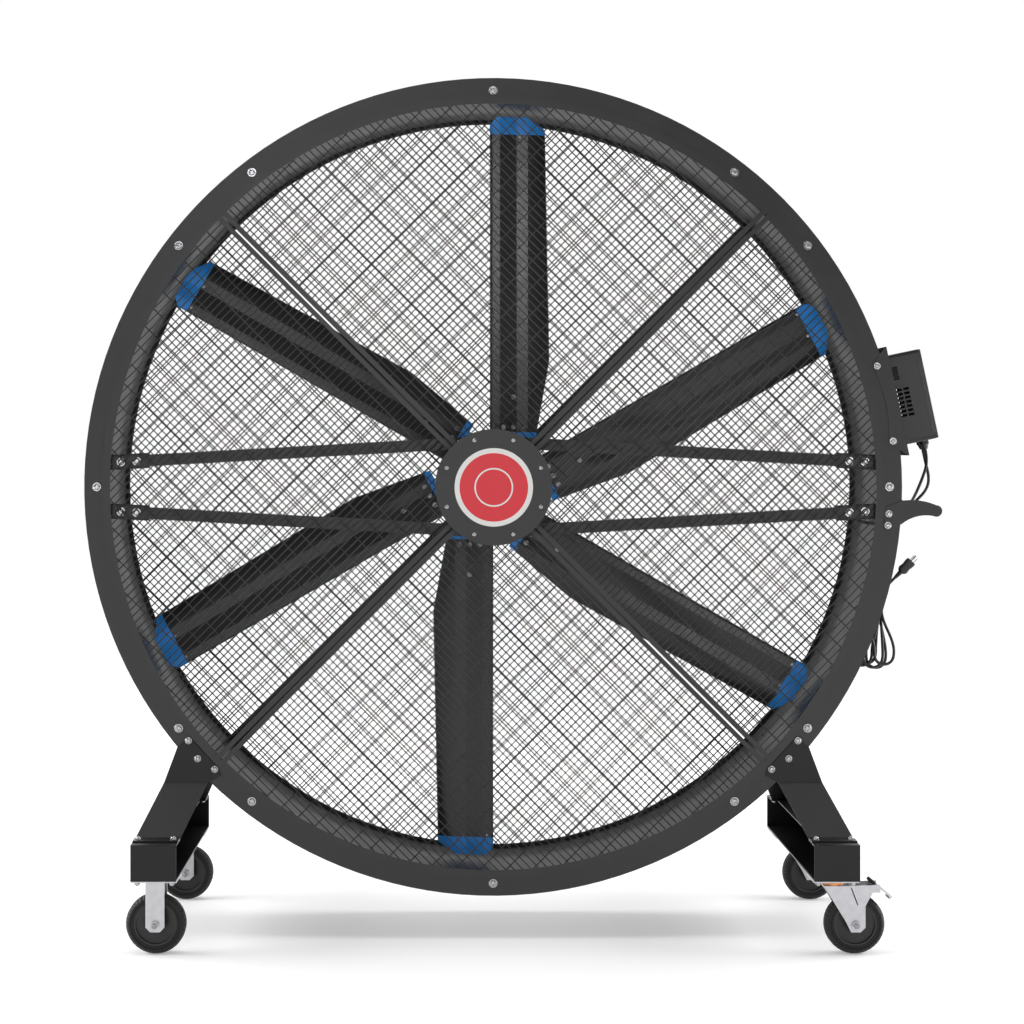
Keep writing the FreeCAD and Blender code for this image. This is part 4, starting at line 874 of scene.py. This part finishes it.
def plug_body():
    """The ribbed neck and the moulded body of the plug."""
    builder = bmesh.new()
    half_y = plug_thickness / 2
    half_z = plug_width / 2
    sections = []
    ribs = 5
    rib_step = plug_neck_length / (ribs + 1)
    for rib in range(ribs):
        radius = mains_radius + 0.0012 + 0.0004 * rib
        for share, size in ((0.0, radius), (0.5, radius), (0.6, radius - 0.0010), (0.9, radius - 0.0010)):
            x = (rib + share) * rib_step
            sections.append(rounded_section(Vector((x, 0, 0)), size, size, 2))
    start = plug_neck_length
    end = start + plug_length
    outline = (
        (start - 0.8 * rib_step, 0.0064, 0.0066, 2.0),
        (start, 0.0082, 0.0100, 2.4),
        (start + 0.003, half_y - 0.0008, half_z - 0.0012, 3.0),
        (start + 0.007, half_y, half_z, 3.6),
        (start + 0.020, half_y - 0.0010, half_z - 0.0014, 3.6),
        (end - 0.010, half_y, half_z, 4.0),
        (end - 0.001, half_y - 0.0002, half_z - 0.0002, 4.0),
        (end, half_y - 0.0012, half_z - 0.0012, 4.0),
    )
    for x, y, z, power in outline:
        sections.append(rounded_section(Vector((x, 0, 0)), y, z, power))
    loft(builder, plug_place(), sections)
    return add_mesh("plug_body", builder, "frame", cord_jacket)


def plug_pins():
    """Two flat pins and a longer round one."""
    builder = bmesh.new()
    seat = plug_neck_length + plug_length - 0.001
    tip = plug_neck_length + plug_length + pin_length
    half_y = pin_width / 2
    half_z = pin_thickness / 2
    for side in (-0.5, 0.5):
        sections = []
        for x, share in ((seat, 1.0), (tip - 0.003, 1.0), (tip, 0.6)):
            centre = Vector((x, -half_y, side * pin_spacing))
            sections.append(rounded_section(centre, half_y * share, half_z * share, 8))
        loft(builder, plug_place(), sections)
    sections = []
    far = tip + ground_pin_extra
    for x, share in ((seat, 1.0), (far - 0.003, 1.0), (far - 0.001, 0.8), (far, 0.45)):
        centre = Vector((x, ground_pin_offset, 0))
        sections.append(rounded_section(centre, ground_pin_radius * share, ground_pin_radius * share, 2))
    loft(builder, plug_place(), sections)
    return add_mesh("plug_pins", builder, "frame", bright_zinc)


plug = plug_body()
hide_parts("plug")
pins = plug_pins()


# Rubber blocks on the upper ends of the brake levers

def brake_block(name, body, side):
    builder = bmesh.new()
    half_y = 0.015
    half_z = 0.0046
    middle_z = 0.0058
    pivot = Vector((ring_x + caster_centre_x + swivel_trail + brake_pivot_from_axle, side * caster_centre_y,
                    wheel_radius + brake_pivot_above_axle))
    place = Matrix.Translation(pivot) @ Matrix.Rotation(brake_pedal_slope, 4, "Y")
    sections = []
    for x, inset in ((-0.025, 0.0014), (-0.0242, 0.0004), (-0.0225, 0.0), (-0.006, 0.0), (-0.005, 0.0008)):
        sections.append(rounded_section(Vector((x, 0, middle_z)), half_y - inset, half_z - inset, 6, 32))
    loft(builder, place, sections)
    bmesh.ops.recalc_face_normals(builder, faces=builder.faces)
    add_mesh(name, builder, body, tyre_rubber)


brake_block("front_brake_block", "front_brake", -1)
brake_block("rear_brake_block", "rear_brake", 1)


# Moulded ends and lid of the controller's housing

def controller_place():
    """From the controller's own frame, X outward from the fan's axis, to the scene."""
    return Matrix.Translation(from_ring(0, 0, 0)) @ Matrix.Rotation(-controller_tilt, 4, "Y")


def housing_ends():
    """Caps on both ends of the controller's housing, a little proud of it."""
    builder = bmesh.new()
    proud = 0.0012
    tall = 0.009
    half_x = housing_height / 2 + proud
    half_y = housing_width / 2 + proud
    middle = housing_seat + housing_height / 2
    turn = controller_place()
    along_x = Matrix.Rotation(-math.pi / 2, 4, "Y")
    for side in (-1, 1):
        centre = Vector((middle, 0, side * (housing_length / 2 + proud)))
        place = turn @ Matrix.Translation(centre) @ along_x
        sections = []
        for depth, inset in ((0.0, 0.004), (0.0012, 0.0012), (0.004, 0.0), (tall, 0.0), (tall, 0.0025)):
            x = -side * depth
            sections.append(rounded_section(Vector((x, 0, 0)), half_y - inset, half_x - inset, 14, 96))
        if side < 0:
            sections.reverse()
        loft(builder, place, sections)
    bmesh.ops.recalc_face_normals(builder, faces=builder.faces)
    add_mesh("housing_ends", builder, "frame", shell_end)


housing_ends()


def housing_lid():
    """The lid over the outer part of the controller's housing, a little proud of it."""
    builder = bmesh.new()
    proud = 0.0010
    tall = 0.012
    half_y = housing_width / 2 + proud
    half_z = housing_length / 2 - 0.004
    top = housing_seat + housing_height
    turn = controller_place()
    sections = []
    for x, inset in ((top - tall, 0.0), (top - 0.003, 0.0), (top - 0.0008, 0.0010), (top + 0.0002, 0.0030)):
        sections.append(rounded_section(Vector((x, 0, 0)), half_y - inset, half_z - inset, 16, 96))
    loft(builder, turn, sections)
    bmesh.ops.recalc_face_normals(builder, faces=builder.faces)
    add_mesh("housing_lid", builder, "frame", lid_coat)


housing_lid()


# Small rounded edges on sheet and cast pieces, which catch the light

def round_edges(names, width):
    for name in names:
        weld = nodes[name].modifiers.new("weld", "WELD")
        weld.merge_threshold = 1e-6
        bevel = nodes[name].modifiers.new("edges", "BEVEL")
        bevel.width = width
        bevel.segments = 2
        bevel.limit_method = "ANGLE"
        bevel.angle_limit = math.radians(40)


round_edges([side + piece for side in both_sides for piece in ("_foot_beam", "_risers")], 0.0012)


# Floor, background and light

floor_size = 60
floor_drop = 0.0005
floor_lift_near = 0.27
floor_lift_far = 0.55
floor_near_reach = 1.3
floor_far_reach = 2.6


def floor_material():
    """Pale floor that shows as white in the open and keeps soft shadows near the fan."""
    material = bpy.data.materials.new("floor")
    material.use_nodes = True
    tree = material.node_tree
    shader = tree.nodes["Principled BSDF"]
    shader.inputs["Base Color"].default_value = (0.86, 0.86, 0.86, 1)
    shader.inputs["Roughness"].default_value = 0.9
    shader.inputs["Specular IOR Level"].default_value = 0.0
    path = tree.nodes.new("ShaderNodeLightPath").outputs
    straight = math_node(tree, "MAXIMUM", path["Is Camera Ray"], path["Is Transmission Ray"])
    seen = math_node(tree, "MAXIMUM", straight, path["Is Glossy Ray"])
    place = tree.nodes.new("ShaderNodeTexCoord")
    reach = tree.nodes.new("ShaderNodeVectorMath")
    reach.operation = "LENGTH"
    tree.links.new(place.outputs["Object"], reach.inputs[0])
    level = map_range(tree, reach.outputs["Value"], floor_lift_near, floor_lift_far, True,
                      floor_near_reach, floor_far_reach)
    lift = math_node(tree, "MULTIPLY", seen, level)
    shader.inputs["Emission Color"].default_value = (1, 1, 1, 1)
    tree.links.new(lift, shader.inputs["Emission Strength"])
    return material


bpy.ops.mesh.primitive_plane_add(size=floor_size, location=(0, 0, -floor_drop))
floor = bpy.context.object
floor.name = "floor"
floor.data.materials.append(floor_material())

# The camera sees a white world on all sides. Reflections find it white behind the fan and dim in front
# of it, and its light on rough surfaces is stronger from behind.
front_level = 0.22
back_level = 0.60
front_edge = -0.3
back_edge = 0.5
world = bpy.data.worlds.new("studio")
scene.world = world
world.use_nodes = True
world_tree = world.node_tree
background = world_tree.nodes["Background"]
background.inputs["Color"].default_value = (1, 1, 1, 1)
light_path = world_tree.nodes.new("ShaderNodeLightPath").outputs
direction = world_tree.nodes.new("ShaderNodeTexCoord")
parts = world_tree.nodes.new("ShaderNodeSeparateXYZ")
world_tree.links.new(direction.outputs["Generated"], parts.inputs["Vector"])
behind = map_range(world_tree, parts.outputs["Y"], 0.0, 1.0, False, front_edge, back_edge)
direct = math_node(world_tree, "MAXIMUM", light_path["Is Camera Ray"], light_path["Is Transmission Ray"])
shown = math_node(world_tree, "MAXIMUM", direct, light_path["Is Glossy Ray"])
whiter = math_node(world_tree, "MULTIPLY", shown, 1.0 - back_level)
far_level = math_node(world_tree, "ADD", whiter, back_level)
rise = math_node(world_tree, "SUBTRACT", far_level, front_level)
share = math_node(world_tree, "MAXIMUM", behind, direct)
gain = math_node(world_tree, "MULTIPLY", rise, share)
level = math_node(world_tree, "ADD", gain, front_level)
world_tree.links.new(level, background.inputs["Strength"])


def soft_light(name, place, aim, width, height, power):
    data = bpy.data.lights.new(name, "AREA")
    data.shape = "RECTANGLE"
    data.size = width
    data.size_y = height
    data.energy = power
    light = bpy.data.objects.new(name, data)
    scene.collection.objects.link(light)
    light.location = place
    direction = Vector(aim) - Vector(place)
    light.rotation_euler = direction.to_track_quat("-Z", "Y").to_euler()


def wide_sun(name, towards, strength):
    """Even light over the whole floor, with soft shadows."""
    data = bpy.data.lights.new(name, "SUN")
    data.energy = strength
    data.angle = math.radians(24)
    light = bpy.data.objects.new(name, data)
    scene.collection.objects.link(light)
    light.rotation_euler = Vector(towards).to_track_quat("-Z", "Y").to_euler()


wide_sun("left_sun", (0.87, 0.06, -0.47), 0.6)
wide_sun("right_sun", (-0.87, 0.06, -0.47), 0.5)
soft_light("top", (0, 0.2, 5.2), (0, 0, 0), 5.0, 3.0, 150)
soft_light("left_low", (-2.3, 0, 0.8), (-0.6, 0, 0.1), 1.0, 0.7, 16)
soft_light("right_low", (2.2, 0, 0.8), (0.5, 0, 0.1), 1.0, 0.7, 14)
soft_light("front_upper_left", (-0.6, -5.6, 2.4), (0, 0, 1.2), 0.7, 0.9, 30)
soft_light("front_left", (-1.8, -5.6, 1.1), (0, 0, 1.2), 0.6, 1.2, 8)
soft_light("front_right", (1.6, -5.6, 1.1), (0, 0, 1.2), 0.6, 1.2, 16)

scene.view_settings.view_transform = "Standard"
